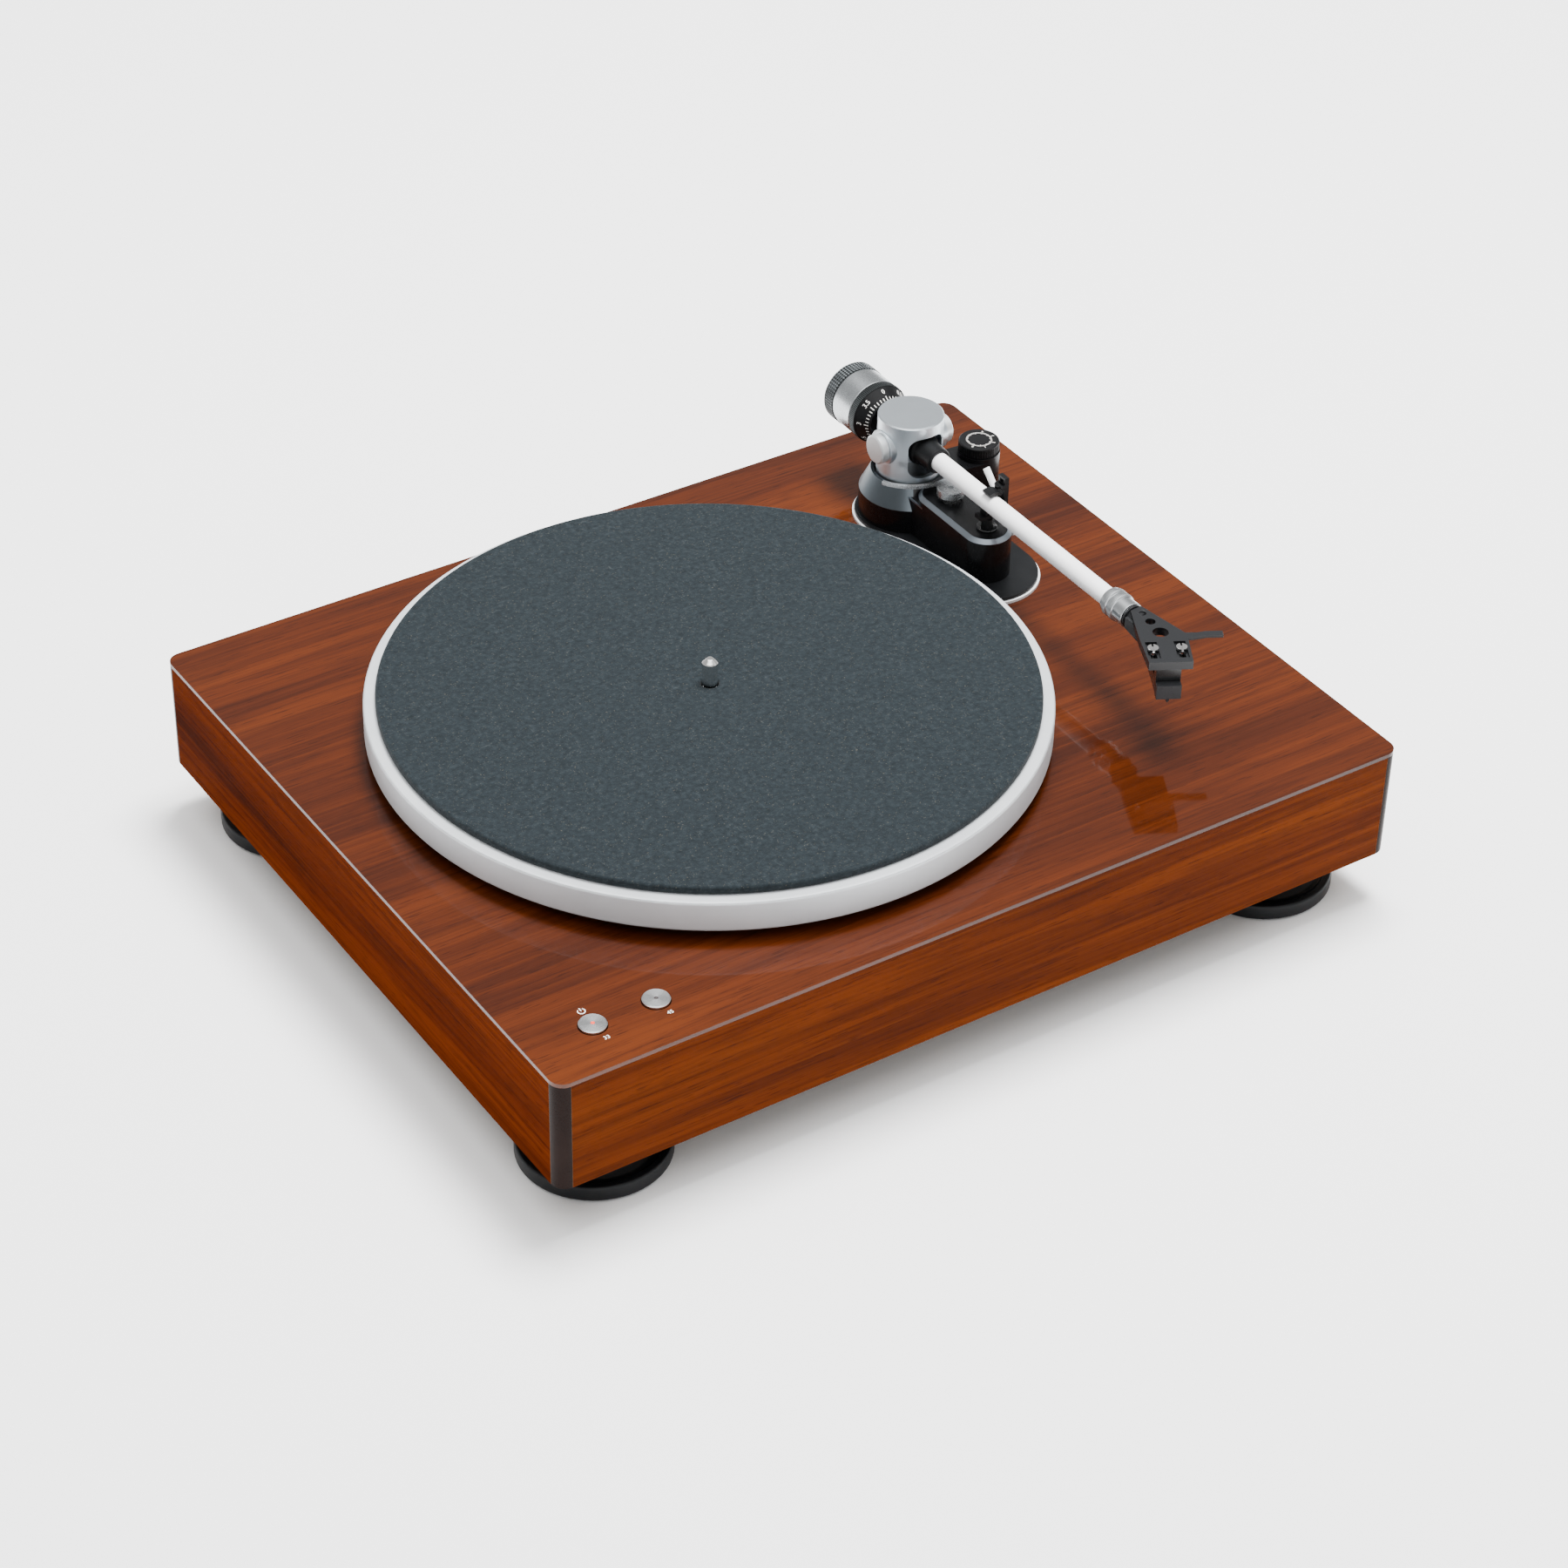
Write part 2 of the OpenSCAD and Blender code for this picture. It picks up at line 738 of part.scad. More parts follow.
module yaw_bearings() {
    color("silver") base_frame() {
        translate([0, 0, sleeve_bottom - top_z]) ring(yaw_r + run_gap, bearing_r, bearing_h);
        translate([0, 0, well_floor - bearing_h]) ring(yaw_r + run_gap, bearing_r, bearing_h - 0.2);
    }
}

module arm_mount_nut() {
    color("gray") base_frame() translate([0, 0, cavity_z - top_z - 6]) difference() {
        cylinder(r = 17, h = 6, $fn = 6);
        translate([0, 0, -1]) cylinder(r = sleeve_r, h = 8);
    }
}

module skate_dial() {
    knurls = 60;
    color("#151517") base_frame() translate([post_x, post_y, 0]) difference() {
        union() {
            translate([0, 0, post_top_h + 0.2]) cylinder(r = dial_r, h = dial_h - 0.6);
            translate([0, 0, post_top_h + dial_h - 0.4 - eps]) cylinder(r1 = dial_r, r2 = dial_r - 0.4, h = 0.4);
            translate([0, 0, post_top_h - 10]) cylinder(r = 3, h = 11);
        }
        for (i = [0 : knurls - 1]) rotate([0, 0, i * 360 / knurls])
            translate([dial_r + 0.15, 0, post_top_h]) cylinder(r = 0.3, h = dial_h - 1);
    }
}

// ---- cueing lift and arm rest ----

module cue_lift() {
    color("gainsboro") base_frame() {
        translate([0, lift_y, base_h + 4]) cylinder(r = lift_r, h = lift_top - base_h - 5);
        difference() {
            translate([0, lift_y, lift_top - lift_head_h]) cylinder(r = lift_head_r, h = lift_head_h);
            translate([0, lift_y, lift_top - 1.5]) cylinder(r = 1.4, h = 3);
        }
        translate([0, 0, bar_low]) rotate([0, 0, 270 - bar_to]) rotate_extrude(angle = bar_to - bar_from)
            polygon([[bar_in, 0], [bar_out, 0], [bar_out, bar_h], [bar_in, bar_h]]);
        block([-3, lift_y + 4, bar_low], [3, -bar_in - 0.6, bar_low + bar_h]);
    }
}

module cue_lever() {
    du = lever_tip_u - lever_u;
    dw = lever_tip_w - lever_w;
    hub_mid = lever_hub_v + lever_hub_t / 2;
    dv = lever_tip_v - hub_mid;
    reach = sqrt(du * du + dv * dv + dw * dw);
    color("gainsboro") arm_frame() translate([lever_u, 0, lever_w]) {
        translate([0, lever_hub_v, 0]) rotate([-90, 0, 0]) cylinder(r = 3.6, h = lever_hub_t);
        translate([0, 4, 0]) rotate([-90, 0, 0]) cylinder(r = lever_axle_r, h = lever_hub_v - 4 + eps);
        translate([0, hub_mid, 0]) rotate([0, acos(dw / reach), atan2(dv, du)]) cylinder(r = lever_r, h = reach);
    }
}

module arm_rest() {
    color("#1d1e20") arm_frame() difference() {
        union() {
            translate([rest_u, rest_v, pod_top_h - 12 - arm_rise])
                cylinder(r = rest_r, h = arm_rise + rest_low - pod_top_h + 12 + eps);
            block([rest_from, rest_left, rest_low], [rest_to, upright_out, rest_high]);
            block([rest_from + 0.5, -1.5, rest_high - eps], [rest_to - 0.5, upright_in + 0.2, -1.5]);
            block([upright_from, upright_in, rest_low], [upright_to, upright_out, upright_top]);
            for (u = [[upright_from, clip_from - 0.2], [knuckle_to + 0.2, upright_to]])
                difference() {
                    union() {
                        translate([0, clip_hinge_v, clip_hinge_w]) rod(knuckle_r, u[0], u[1]);
                        block([u[0], clip_hinge_v, clip_hinge_w - knuckle_r],
                              [u[1], upright_in + eps, clip_hinge_w + knuckle_r]);
                    }
                }
            translate([0, clip_hinge_v, clip_hinge_w]) rod(clip_pin_r, upright_from + 0.5, upright_to - 0.5);
        }
        rod(tube_r + 0.35, rest_from - 1, rest_to + 1);
        block([rest_from - 1, rest_left - 1, -tube_r - 0.35], [rest_to + 1, 0.5, 2]);
        block([63.4, upright_in - 1, 8], [66.1, upright_out + 1, 10]);
    }
}

module rest_collar() {
    color("silver") arm_frame() translate([rest_u, rest_v, pod_top_h - arm_rise]) ring(rest_r + 0.02, 5, 1.2);
}

module rest_clip() {
    color("#242528") arm_frame() {
        difference() {
            union() {
                intersection() {
                    rod(clip_out, clip_from, clip_to);
                    translate([clip_from - 1, 0, 0]) rotate([90, 0, 90]) linear_extrude(clip_to - clip_from + 2)
                        polygon([[0, 0], [12 * cos(50), 12 * sin(50)], [4, 14], [-4, 14],
                                 [12 * cos(116), 12 * sin(116)]]);
                }
                translate([0, clip_hinge_v, clip_hinge_w]) rod(knuckle_r, clip_from, knuckle_to);
                block([clip_from, 3.9, clip_hinge_w - 1], [knuckle_to, clip_hinge_v, clip_hinge_w + 0.5]);
            }
            rod(clip_in, clip_from - 1, clip_to + 1);
            translate([0, clip_hinge_v, clip_hinge_w]) rod(clip_pin_r + run_gap, clip_from - 1, clip_to + 1);
        }
    }
}

// ---- tonearm bearing ----

module yaw_spindle() {
    color("silver") arm_frame() {
        translate([0, 0, housing_bottom]) cylinder(r = housing_in, h = 3.5);
        translate([0, 0, sleeve_bottom - arm_z + 0.5]) cylinder(r = yaw_r, h = arm_z + housing_bottom - sleeve_bottom);
    }
}

module pivot_housing() {
    color("#c4c8cc") arm_frame() difference() {
        union() {
            translate([0, 0, housing_bottom]) cylinder(r = housing_r, h = housing_top - housing_bottom - 0.6);
            translate([0, 0, housing_top - 0.6 - eps]) cylinder(r1 = housing_r, r2 = housing_r - 0.6, h = 0.6 + eps);
            translate([0, -boss_face, 0]) rotate([-90, 0, 0]) cylinder(r = boss_r, h = 2 * boss_face);
        }
        translate([0, 0, housing_bottom - 1]) cylinder(r = housing_in, h = housing_top - housing_bottom - 1.5);
        translate([0, -boss_face - 1, 0]) rotate([-90, 0, 0]) cylinder(r = pin_r + 0.02, h = 2 * boss_face + 2);
        block([5, -window_half, window_low + window_r], [20, window_half, window_high - window_r]);
        block([5, -window_half + window_r, window_low], [20, window_half - window_r, window_high]);
        for (v = [-1, 1], w = [window_low + window_r, window_high - window_r])
            translate([0, v * (window_half - window_r), w]) rod(window_r, 5, 20);
        translate([0, 0, -0.6]) rod(rear_r + 2.6, -20, -5);
    }
}

module pivot_caps() {
    color("gainsboro") arm_frame() for (s = [-1, 1]) rotate([-90 * s, 0, 0]) {
        translate([0, 0, boss_face + 0.1]) cylinder(r = cap_r, h = cap_face - boss_face - 0.7);
        translate([0, 0, cap_face - 0.6 - eps]) cylinder(r1 = cap_r, r2 = cap_r - 0.6, h = 0.6 + eps);
        translate([0, 0, 6.4]) cylinder(r = pin_r, h = boss_face - 6.2);
    }
}

// ---- tonearm ----

module arm_hub() {
    color("#3a3c40") arm_frame() difference() {
        union() {
            rod(hub_r, -9, 10);
            translate([0, -10, 0]) rotate([-90, 0, 0]) cylinder(r = 5, h = 20);
            rod(rear_r, rear_end, -9 + eps);
        }
        for (s = [-1, 1]) rotate([-90 * s, 0, 0]) translate([0, 0, 6]) cylinder(r = pin_r + run_gap, h = 6);
    }
}

module arm_sleeve() {
    color("#1b1c1e") arm_frame() turned([[tube_r, 10], [8, 10], [8, 12], [6.9, 13.6],
        [6.2, sleeve_end - 0.4], [5.8, sleeve_end], [tube_r, sleeve_end]]);
}

module arm_tube() {
    color("#e6e8ea") arm_frame() difference() {
        rod(tube_r, 10, tube_end);
        rod(tube_r - 0.6, 9, tube_end + 1);
    }
}

module lock_collar() {
    color("#d0d4d8") arm_frame() turned([[tube_r + run_gap, 160], [6.1, 160], [6.15, 160.4], [6.15, 161.5],
        [6.75, 161.9], [6.75, 164.2], [6.15, 164.6], [6.15, 165.4], [6.75, 165.8], [6.75, 168.6], [6.15, 169],
        [6.15, 175.2], [5.9, 175.5], [tube_r + run_gap, 175.5]]);
}

// Headshell plate outline, with +X to the front and +Y away from the platter
module head_outline() {
    polygon([[10.2, -9.6], [10.5, 10], [-11, 10.8], [-34, -6], [-30.6, -11.2], [-7.8, -10.8]]);
}

module headshell() {
    color("#17181a") {
        head_frame() difference() {
            translate([0, 0, head_bottom]) linear_extrude(head_t) head_outline();
            translate([-28.1, -6.2, head_bottom - 1]) cylinder(r = 1.65, h = head_t + 2);
            translate([-21.5, -3.8, head_bottom - 1]) cylinder(r = 2.3, h = head_t + 2);
            translate([-12.9, -0.7, head_bottom - 1]) cylinder(r = 3.6, h = head_t + 2);
            for (q = [-1, 1] * screw_pitch / 2) {
                block([slot_from, q - slot_r, head_bottom - 1], [slot_to, q + slot_r, head_top + 1]);
                block([slot_from, q - 2.6, head_top - 1.2], [slot_to, q + 2.6, head_top + 1]);
            }
        }
        arm_frame() difference() {
            union() {
                rod(tube_r + 1.4, tube_end + 0.2, tube_end + 1.2);
                rod(tube_r + 0.4, tube_end + 1.2 - eps, tube_end + 7);
                rod(tube_r - 0.65, tube_end - 8, tube_end + 1);
                translate([0, -5.4, 0]) rotate([90, 0, 0]) linear_extrude(1.4)
                    polygon([[tube_end + 3.5, -1.5], [tube_end + 3.5, 4], [tube_end + 9, 4], [tube_end + 13, -3.4]]);
            }
            block([tube_end + 2, -8, -8], [tube_end + 8, 8, -3.6]);
        }
    }
}

module finger_lift() {
    lift_z = head_bottom + 0.6;
    color("#17181a") head_frame() difference() {
        union() {
            translate([0, 0, lift_z]) linear_extrude(1.4)
                polygon([[-15, 7.5], [-10.4, 10.6], [-11.2, 16.2], [-14.6, 16.8]]);
            translate([0, 16.2, lift_z]) rotate([90, 0, 90]) translate([0, 0, -14.6]) linear_extrude(3.4)
                polygon([[-0.4, 0], [3.5, 0.6], [11, 0.5], [11, 1.9], [3.3, 2], [-0.4, 1.4]]);
        }
        translate([0, 0, head_bottom - 1]) linear_extrude(head_t + 2) head_outline();
    }
}

module cartridge_screws() {
    color("silver") head_frame() for (q = [-1, 1] * screw_pitch / 2) translate([screw_p, q, 0]) {
        translate([0, 0, -3.6]) screw(1.25, 3.6 + head_top - 1.2, 2.45, 2.6);
        translate([0, 0, -3.2]) difference() {
            cylinder(r = 2.4, h = 1.8, $fn = 6);
            translate([0, 0, -1]) cylinder(r = 1.25, h = 4);
        }
    }
}

module cartridge() {
    color("#121214") head_frame() difference() {
        union() {
            block([-4, -8.9, -1.3], [5, 8.9, head_bottom]);
            block([-9, -5.5, -6], [8, 5.5, head_bottom]);
            block([-9, -5.5, -12.5], [7.5, 5.5, -6 + eps]);
        }
        for (q = [-1, 1] * screw_pitch / 2) translate([screw_p, q, -2]) cylinder(r = 1.3, h = 4);
        for (q = [-1, 1] * screw_pitch / 2) translate([screw_p, q, -6]) cylinder(r = 2.75, h = 6 - 1.3);
    }
}

module stylus() {
    color("#cfcfd2") head_frame() {
        block([7.6, -5.5, -13.5], [11.6, 5.5, -6.6]);
        translate([9.5, 0, -15.4]) cylinder(r = 0.9, h = 2);
        translate([9.5, 0, -16.65]) cylinder(r1 = 0.15, r2 = 0.9, h = 1.26);
    }
}

// ---- counterweight ----

module weight_carrier() {
    color("#e8e4d8") arm_frame() difference() {
        rod(weight_bore - run_gap, -48.5, weight_front - 0.8);
        rod(rear_r + run_gap, -50, -25);
    }
}

module counterweight() {
    color("#c8ccd0") arm_frame() turned([
        [weight_bore, weight_back], [weight_r, weight_back], [weight_r, weight_front],
        [hub_boss_r, weight_front], [hub_boss_r, hub_boss_end], [weight_bore, hub_boss_end],
        [weight_bore, -32], [weight_core_r, -32], [weight_core_r, -42.5], [weight_bore, -42.5]]);
}

module weight_grip() {
    knurls = 72;
    color("#3c4244") arm_frame() difference() {
        turned([[weight_bore, grip_back], [grip_r - 0.6, grip_back], [grip_r, grip_back + 0.6],
            [grip_r, weight_back], [weight_bore, weight_back]]);
        for (i = [0 : knurls - 1]) rotate([i * 360 / knurls, 0, 0])
            translate([0, 0, grip_r + 0.25]) rod(0.45, grip_back + 1, weight_back - 0.8);
    }
}

module force_dial() {
    color("#1a1b1d") arm_frame() turned([
        [hub_boss_r + run_gap, dial_back], [weight_r, dial_back], [weight_r, dial_band],
        [dial_cone_r, dial_band], [dial_front_r, dial_front], [rear_r + 0.6, dial_front],
        [rear_r + 0.6, hub_boss_end + 0.3], [hub_boss_r + run_gap, hub_boss_end + 0.3]]);
}

plinth_frame();
top_panel();
corner_posts();
bottom_panel();
panel_screws();
feet();
foot_pads();
foot_bolts();
bearing_housing();
bearing_bush();
thrust_ball();
spindle();
sub_platter();
platter();
felt_mat();
motor();
deck_screws();
motor_shaft();
motor_pulley();
drive_belt();
control_board();
button_guide();
button_33();
button_45();
led_lens_33();
led_lens_45();
button_spring_33();
button_spring_45();
terminal_plate();
rca_sockets();
ground_washer();
ground_nut();
power_jack();
base_trim();
base_plate();
arm_base();
yaw_bearings();
arm_mount_nut();
yaw_spindle();
pivot_housing();
pivot_caps();
arm_hub();
arm_sleeve();
arm_tube();
lock_collar();
headshell();
finger_lift();
cartridge_screws();
cartridge();
stylus();
weight_carrier();
counterweight();
weight_grip();
force_dial();
arm_rest();
rest_collar();
rest_clip();
cue_lever();
cue_lift();
skate_dial();
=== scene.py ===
import json
import math

import bmesh
import bpy
from mathutils import Matrix, Vector


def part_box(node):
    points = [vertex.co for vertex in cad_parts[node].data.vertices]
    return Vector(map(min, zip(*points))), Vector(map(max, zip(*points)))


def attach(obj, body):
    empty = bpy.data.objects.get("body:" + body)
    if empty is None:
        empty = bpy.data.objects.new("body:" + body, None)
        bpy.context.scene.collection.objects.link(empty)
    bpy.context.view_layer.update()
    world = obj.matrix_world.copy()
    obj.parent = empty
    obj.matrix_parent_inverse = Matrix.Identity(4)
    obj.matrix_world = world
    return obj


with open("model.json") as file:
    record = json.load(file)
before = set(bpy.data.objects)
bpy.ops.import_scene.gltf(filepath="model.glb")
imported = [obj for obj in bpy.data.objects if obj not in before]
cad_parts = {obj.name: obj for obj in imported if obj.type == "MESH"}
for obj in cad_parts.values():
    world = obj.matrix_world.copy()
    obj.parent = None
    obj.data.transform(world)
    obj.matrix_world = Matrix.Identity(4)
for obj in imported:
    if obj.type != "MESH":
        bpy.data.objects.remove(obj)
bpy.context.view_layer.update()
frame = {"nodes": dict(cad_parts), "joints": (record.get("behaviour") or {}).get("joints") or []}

MM = 0.001

# ---------------------------------------------------------------- places taken from the frame

PLINTH_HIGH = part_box("top_panel")[1]
TOP_Z = PLINTH_HIGH.z
HALF_W = PLINTH_HIGH.x / MM
HALF_D = PLINTH_HIGH.y / MM
TOP = TOP_Z / MM


def mid(node):
    low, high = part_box(node)
    return (low + high) / 2


JOINTS = {j["name"]: j for j in frame["joints"]}
ARM_PIVOT = Vector(JOINTS["arm_tilt"]["pos_m"])
ARM_V = -Vector(JOINTS["arm_tilt"]["axis"])
ARM_W = Vector((0, 0, 1))
ARM_U = ARM_V.cross(ARM_W)
ARM = Matrix.Translation(ARM_PIVOT) @ Matrix((ARM_U, ARM_V, ARM_W)).transposed().to_4x4()
BASE = Matrix.Translation((ARM_PIVOT.x, ARM_PIVOT.y, TOP_Z))
TURN_TO_U = Matrix.Rotation(math.radians(90), 4, "Y")

# ---------------------------------------------------------------- camera

CAMERA_AT = (-0.8009, -1.2054, 1.1079)
CAMERA_RIGHT = (0.83807, -0.54529, 0.01732)
CAMERA_BACK = (-0.44687, -0.66790, 0.59516)
LENS_MM, SENSOR_MM, FARTHEST = 91.0, 36.0, 20

camera_data = bpy.data.cameras.new("camera")
camera_data.lens = LENS_MM
camera_data.sensor_width = SENSOR_MM
camera_data.clip_end = FARTHEST
camera = bpy.data.objects.new("camera", camera_data)
bpy.context.scene.collection.objects.link(camera)
right = Vector(CAMERA_RIGHT).normalized()
back = Vector(CAMERA_BACK).normalized()
right = (right - back * right.dot(back)).normalized()
up = back.cross(right)
camera.matrix_world = Matrix.Translation(CAMERA_AT) @ Matrix((right, up, back)).transposed().to_4x4()
bpy.context.scene.camera = camera

# ---------------------------------------------------------------- material helpers


class Tree:
    """A material's node tree, with short calls for the nodes used here."""

    def __init__(self, name, **sockets):
        self.mat = bpy.data.materials.new(name)
        self.mat.use_nodes = True
        self.nodes = self.mat.node_tree.nodes
        self.links = self.mat.node_tree.links
        self.shader = self.nodes["Principled BSDF"]
        for key, value in sockets.items():
            self.shader.inputs[key.replace("_", " ")].default_value = value

    def add(self, kind, values=None, **settings):
        node = self.nodes.new("ShaderNode" + kind)
        for key, value in settings.items():
            setattr(node, key, value)
        for key, value in (values or {}).items():
            if isinstance(value, bpy.types.NodeSocket):
                self.links.new(value, node.inputs[key])
            else:
                node.inputs[key].default_value = value
        return node

    def coords(self, scale=(1, 1, 1), turn=(0, 0, 0), shift=(0, 0, 0)):
        where = self.add("TexCoord").outputs["Object"]
        return self.add("Mapping", {"Vector": where, "Scale": scale, "Rotation": turn, "Location": shift}).outputs[0]

    def noise(self, vector, scale, detail=4.0, rough=0.55, distortion=0.0):
        return self.add("TexNoise", {"Vector": vector, "Scale": scale, "Detail": detail, "Roughness": rough,
                                     "Distortion": distortion}).outputs[0]

    def ramp(self, fac, stops):
        node = self.add("ValToRGB", {"Fac": fac})
        elements = node.color_ramp.elements
        while len(elements) < len(stops):
            elements.new(0.5)
        for element, (place, colour) in zip(elements, stops):
            element.position = place
            element.color = (*colour, 1)
        return node.outputs[0]

    def span(self, fac, low, high, to_low=0.0, to_high=1.0):
        return self.add("MapRange", {"Value": fac, "From Min": low, "From Max": high, "To Min": to_low,
                                     "To Max": to_high}).outputs[0]

    def math(self, kind, a, b=0.0):
        return self.add("Math", {0: a, 1: b}, operation=kind).outputs[0]

    def mix(self, fac, a, b, blend="MIX"):
        node = self.add("Mix", data_type="RGBA", blend_type=blend)
        for index, value in ((0, fac), (6, a), (7, b)):
            if isinstance(value, bpy.types.NodeSocket):
                self.links.new(value, node.inputs[index])
            else:
                node.inputs[index].default_value = value
        return node.outputs[2]

    def set(self, name, socket):
        self.links.new(socket, self.shader.inputs[name])

    def bump(self, height, strength, distance):
        node = self.add("Bump", {"Height": height, "Strength": strength, "Distance": distance})
        self.set("Normal", node.outputs[0])


def rgb(hex_colour):
    """Linear colour from a screen hex colour."""
    parts = [int(hex_colour[i:i + 2], 16) / 255 for i in (1, 3, 5)]
    return tuple(p / 12.92 if p <= 0.04045 else ((p + 0.055) / 1.055) ** 2.4 for p in parts)


def veneer(name, along, light, middle, dark, seed, coat, level, coat_rough=0.05, vein=0.3):
    """Walnut veneer: drifting bands, veins, fine streaks and pores. `along` is the grain's axis, `level` the gloss."""
    t = Tree(name, Coat_Weight=coat, Coat_Roughness=coat_rough, Coat_IOR=1.45, Specular_IOR_Level=level)

    def grain(pull, move):
        stretch = [1.0, 1.0, 1.0]
        stretch[along] = pull
        return t.coords(scale=stretch, shift=(seed * move, seed * 0.7, seed * 1.3))

    def shade(factor):
        return tuple(c * factor for c in dark) + (1,)

    band = t.noise(grain(0.08, 1), 21, 3, 0.5, 0.3)
    drift = t.noise(grain(0.07, 2), 40, 3, 0.5, 0.4)
    line = t.noise(grain(0.014, 3), 330, 4, 0.6, 0.1)
    streak = t.noise(grain(0.02, 4), 620, 3, 0.6, 0.1)
    pore = t.noise(grain(0.07, 5), 1250, 2, 0.5)
    base = t.ramp(t.math("ADD", t.math("MULTIPLY", band, 0.6), t.math("MULTIPLY", drift, 0.4)),
                  [(0.36, dark), (0.5, middle), (0.62, light)])
    ring = t.math("ABSOLUTE", t.math("SUBTRACT", t.math("FRACT", t.math("MULTIPLY", drift, 9.0)), 0.5))
    base = t.mix(t.span(ring, 0.0, 0.22, vein, 0.0), base, shade(0.7))
    base = t.mix(t.span(line, 0.5, 0.7, 0, 0.5), base, shade(0.75))
    base = t.mix(t.span(line, 0.46, 0.32, 0, 0.4), base, (*light, 1))
    base = t.mix(t.span(streak, 0.54, 0.7, 0, 0.4), base, shade(0.5))
    base = t.mix(t.span(pore, 0.6, 0.7, 0, 0.5), base, shade(0.3))
    t.set("Base Color", base)
    t.set("Roughness", t.span(line, 0.3, 0.7, 0.38, 0.55))
    t.bump(streak, 0.03, 0.0001)
    return t.mat


def metal(name, colour, rough, grain=0.03, scale=900.0, stretch=(1, 1, 1), coat=0.0, metallic=1.0, spread=0.08,
          mottle=0.05):
    """Worked metal: fine grain along one direction, a slight cloud in its colour and its sheen."""
    t = Tree(name, Metallic=metallic, Coat_Weight=coat, Coat_Roughness=0.12)
    fine = t.noise(t.coords(scale=stretch), scale, 3, 0.6)
    broad = t.noise(t.coords(), 45, 3, 0.55)
    dull = tuple(c * (1 - mottle * 2) for c in colour)
    t.set("Base Color", t.mix(t.span(broad, 0.3, 0.7), (*colour, 1), (*dull, 1)))
    t.set("Roughness", t.math("ADD", t.span(fine, 0.25, 0.75, rough - spread / 2, rough + spread / 2),
                              t.span(broad, 0.3, 0.7, 0, spread / 3)))
    if grain:
        t.bump(fine, grain, 0.0001)
    return t.mat


def spun(name, colour, rough, centre, axis, pitch=0.00035, strength=0.12):
    """Metal turned on a lathe: rings about `axis` (0, 1, 2) through `centre`, with radial sheen."""
    t = Tree(name, Metallic=1.0)
    where = t.add("TexCoord").outputs["Object"]
    off = t.add("VectorMath", {0: where, 1: tuple(-c for c in centre)}, operation="ADD").outputs[0]
    flat = [1.0, 1.0, 1.0]
    flat[axis] = 0.0
    off = t.add("VectorMath", {0: off, 1: tuple(flat)}, operation="MULTIPLY").outputs[0]
    radius = t.add("VectorMath", {0: off}, operation="LENGTH").outputs["Value"]
    ring = t.math("SINE", t.math("MULTIPLY", radius, 2 * math.pi / pitch))
    jitter = t.noise(t.coords(), 1400, 2)
    broad = t.noise(t.coords(), 120, 3)
    t.set("Base Color", t.mix(t.span(broad, 0.3, 0.7), (*colour, 1), tuple(c * 0.88 for c in colour) + (1,)))
    t.set("Roughness", t.span(jitter, 0.3, 0.7, rough - 0.04, rough + 0.05))
    t.bump(t.math("ADD", ring, jitter), strength, 0.00004)
    return t.mat


def plastic(name, colour, rough, grain_scale=1800.0, grain=0.06, coat=0.0, lift=0.35, level=0.2):
    """Moulded plastic or paint with a fine texture and slightly uneven gloss."""
    t = Tree(name, Coat_Weight=coat, Coat_Roughness=0.1, Specular_IOR_Level=level)
    fine = t.noise(t.coords(), grain_scale, 3, 0.6)
    broad = t.noise(t.coords(), 60, 4, 0.6)
    lighter = tuple(min(1.0, c * (1 + lift) + 0.001) for c in colour)
    t.set("Base Color", t.mix(t.span(broad, 0.35, 0.68), (*colour, 1), (*lighter, 1)))
    t.set("Roughness", t.math("ADD", t.span(fine, 0.3, 0.7, rough - 0.04, rough + 0.04),
                              t.span(broad, 0.3, 0.7, -0.03, 0.03)))
    t.bump(fine, grain, 0.00008)
    return t.mat


def felt(name):
    """Slate-grey pressed wool with pale and dark fibres."""
    t = Tree(name, Sheen_Weight=0.06, Sheen_Roughness=0.5, Specular_IOR_Level=0.15)
    place = t.coords()
    tuft = t.noise(place, 420, 5, 0.7)
    clump = t.noise(place, 120, 4, 0.6)
    stretch_a = t.coords(scale=(1, 0.22, 1), turn=(0, 0, 0.6))
    stretch_b = t.coords(scale=(0.22, 1, 1), turn=(0, 0, 0.2))
    hair = t.math("MAXIMUM", t.noise(stretch_a, 900, 2, 0.6, 0.6), t.noise(stretch_b, 900, 2, 0.6, 0.6))
    base = t.ramp(tuft, [(0.3, (0.0062, 0.0088, 0.0106)), (0.52, (0.011, 0.0151, 0.0178)),
                         (0.72, (0.019, 0.025, 0.029))])
    base = t.mix(t.span(clump, 0.4, 0.68, 0, 0.35), base, (0.011, 0.015, 0.0175, 1))
    base = t.mix(t.span(hair, 0.68, 0.78, 0, 0.4), base, (0.05, 0.056, 0.058, 1))
    speck = t.noise(t.coords(shift=(3, 1, 0)), 1500, 1, 0.5)
    base = t.mix(t.span(speck, 0.68, 0.74, 0, 0.5), base, (0.085, 0.078, 0.062, 1))
    t.set("Base Color", base)
    t.shader.inputs["Roughness"].default_value = 0.95
    t.bump(t.math("ADD", tuft, t.math("MULTIPLY", hair, 0.6)), 0.55, 0.0007)
    return t.mat


# ---------------------------------------------------------------- materials

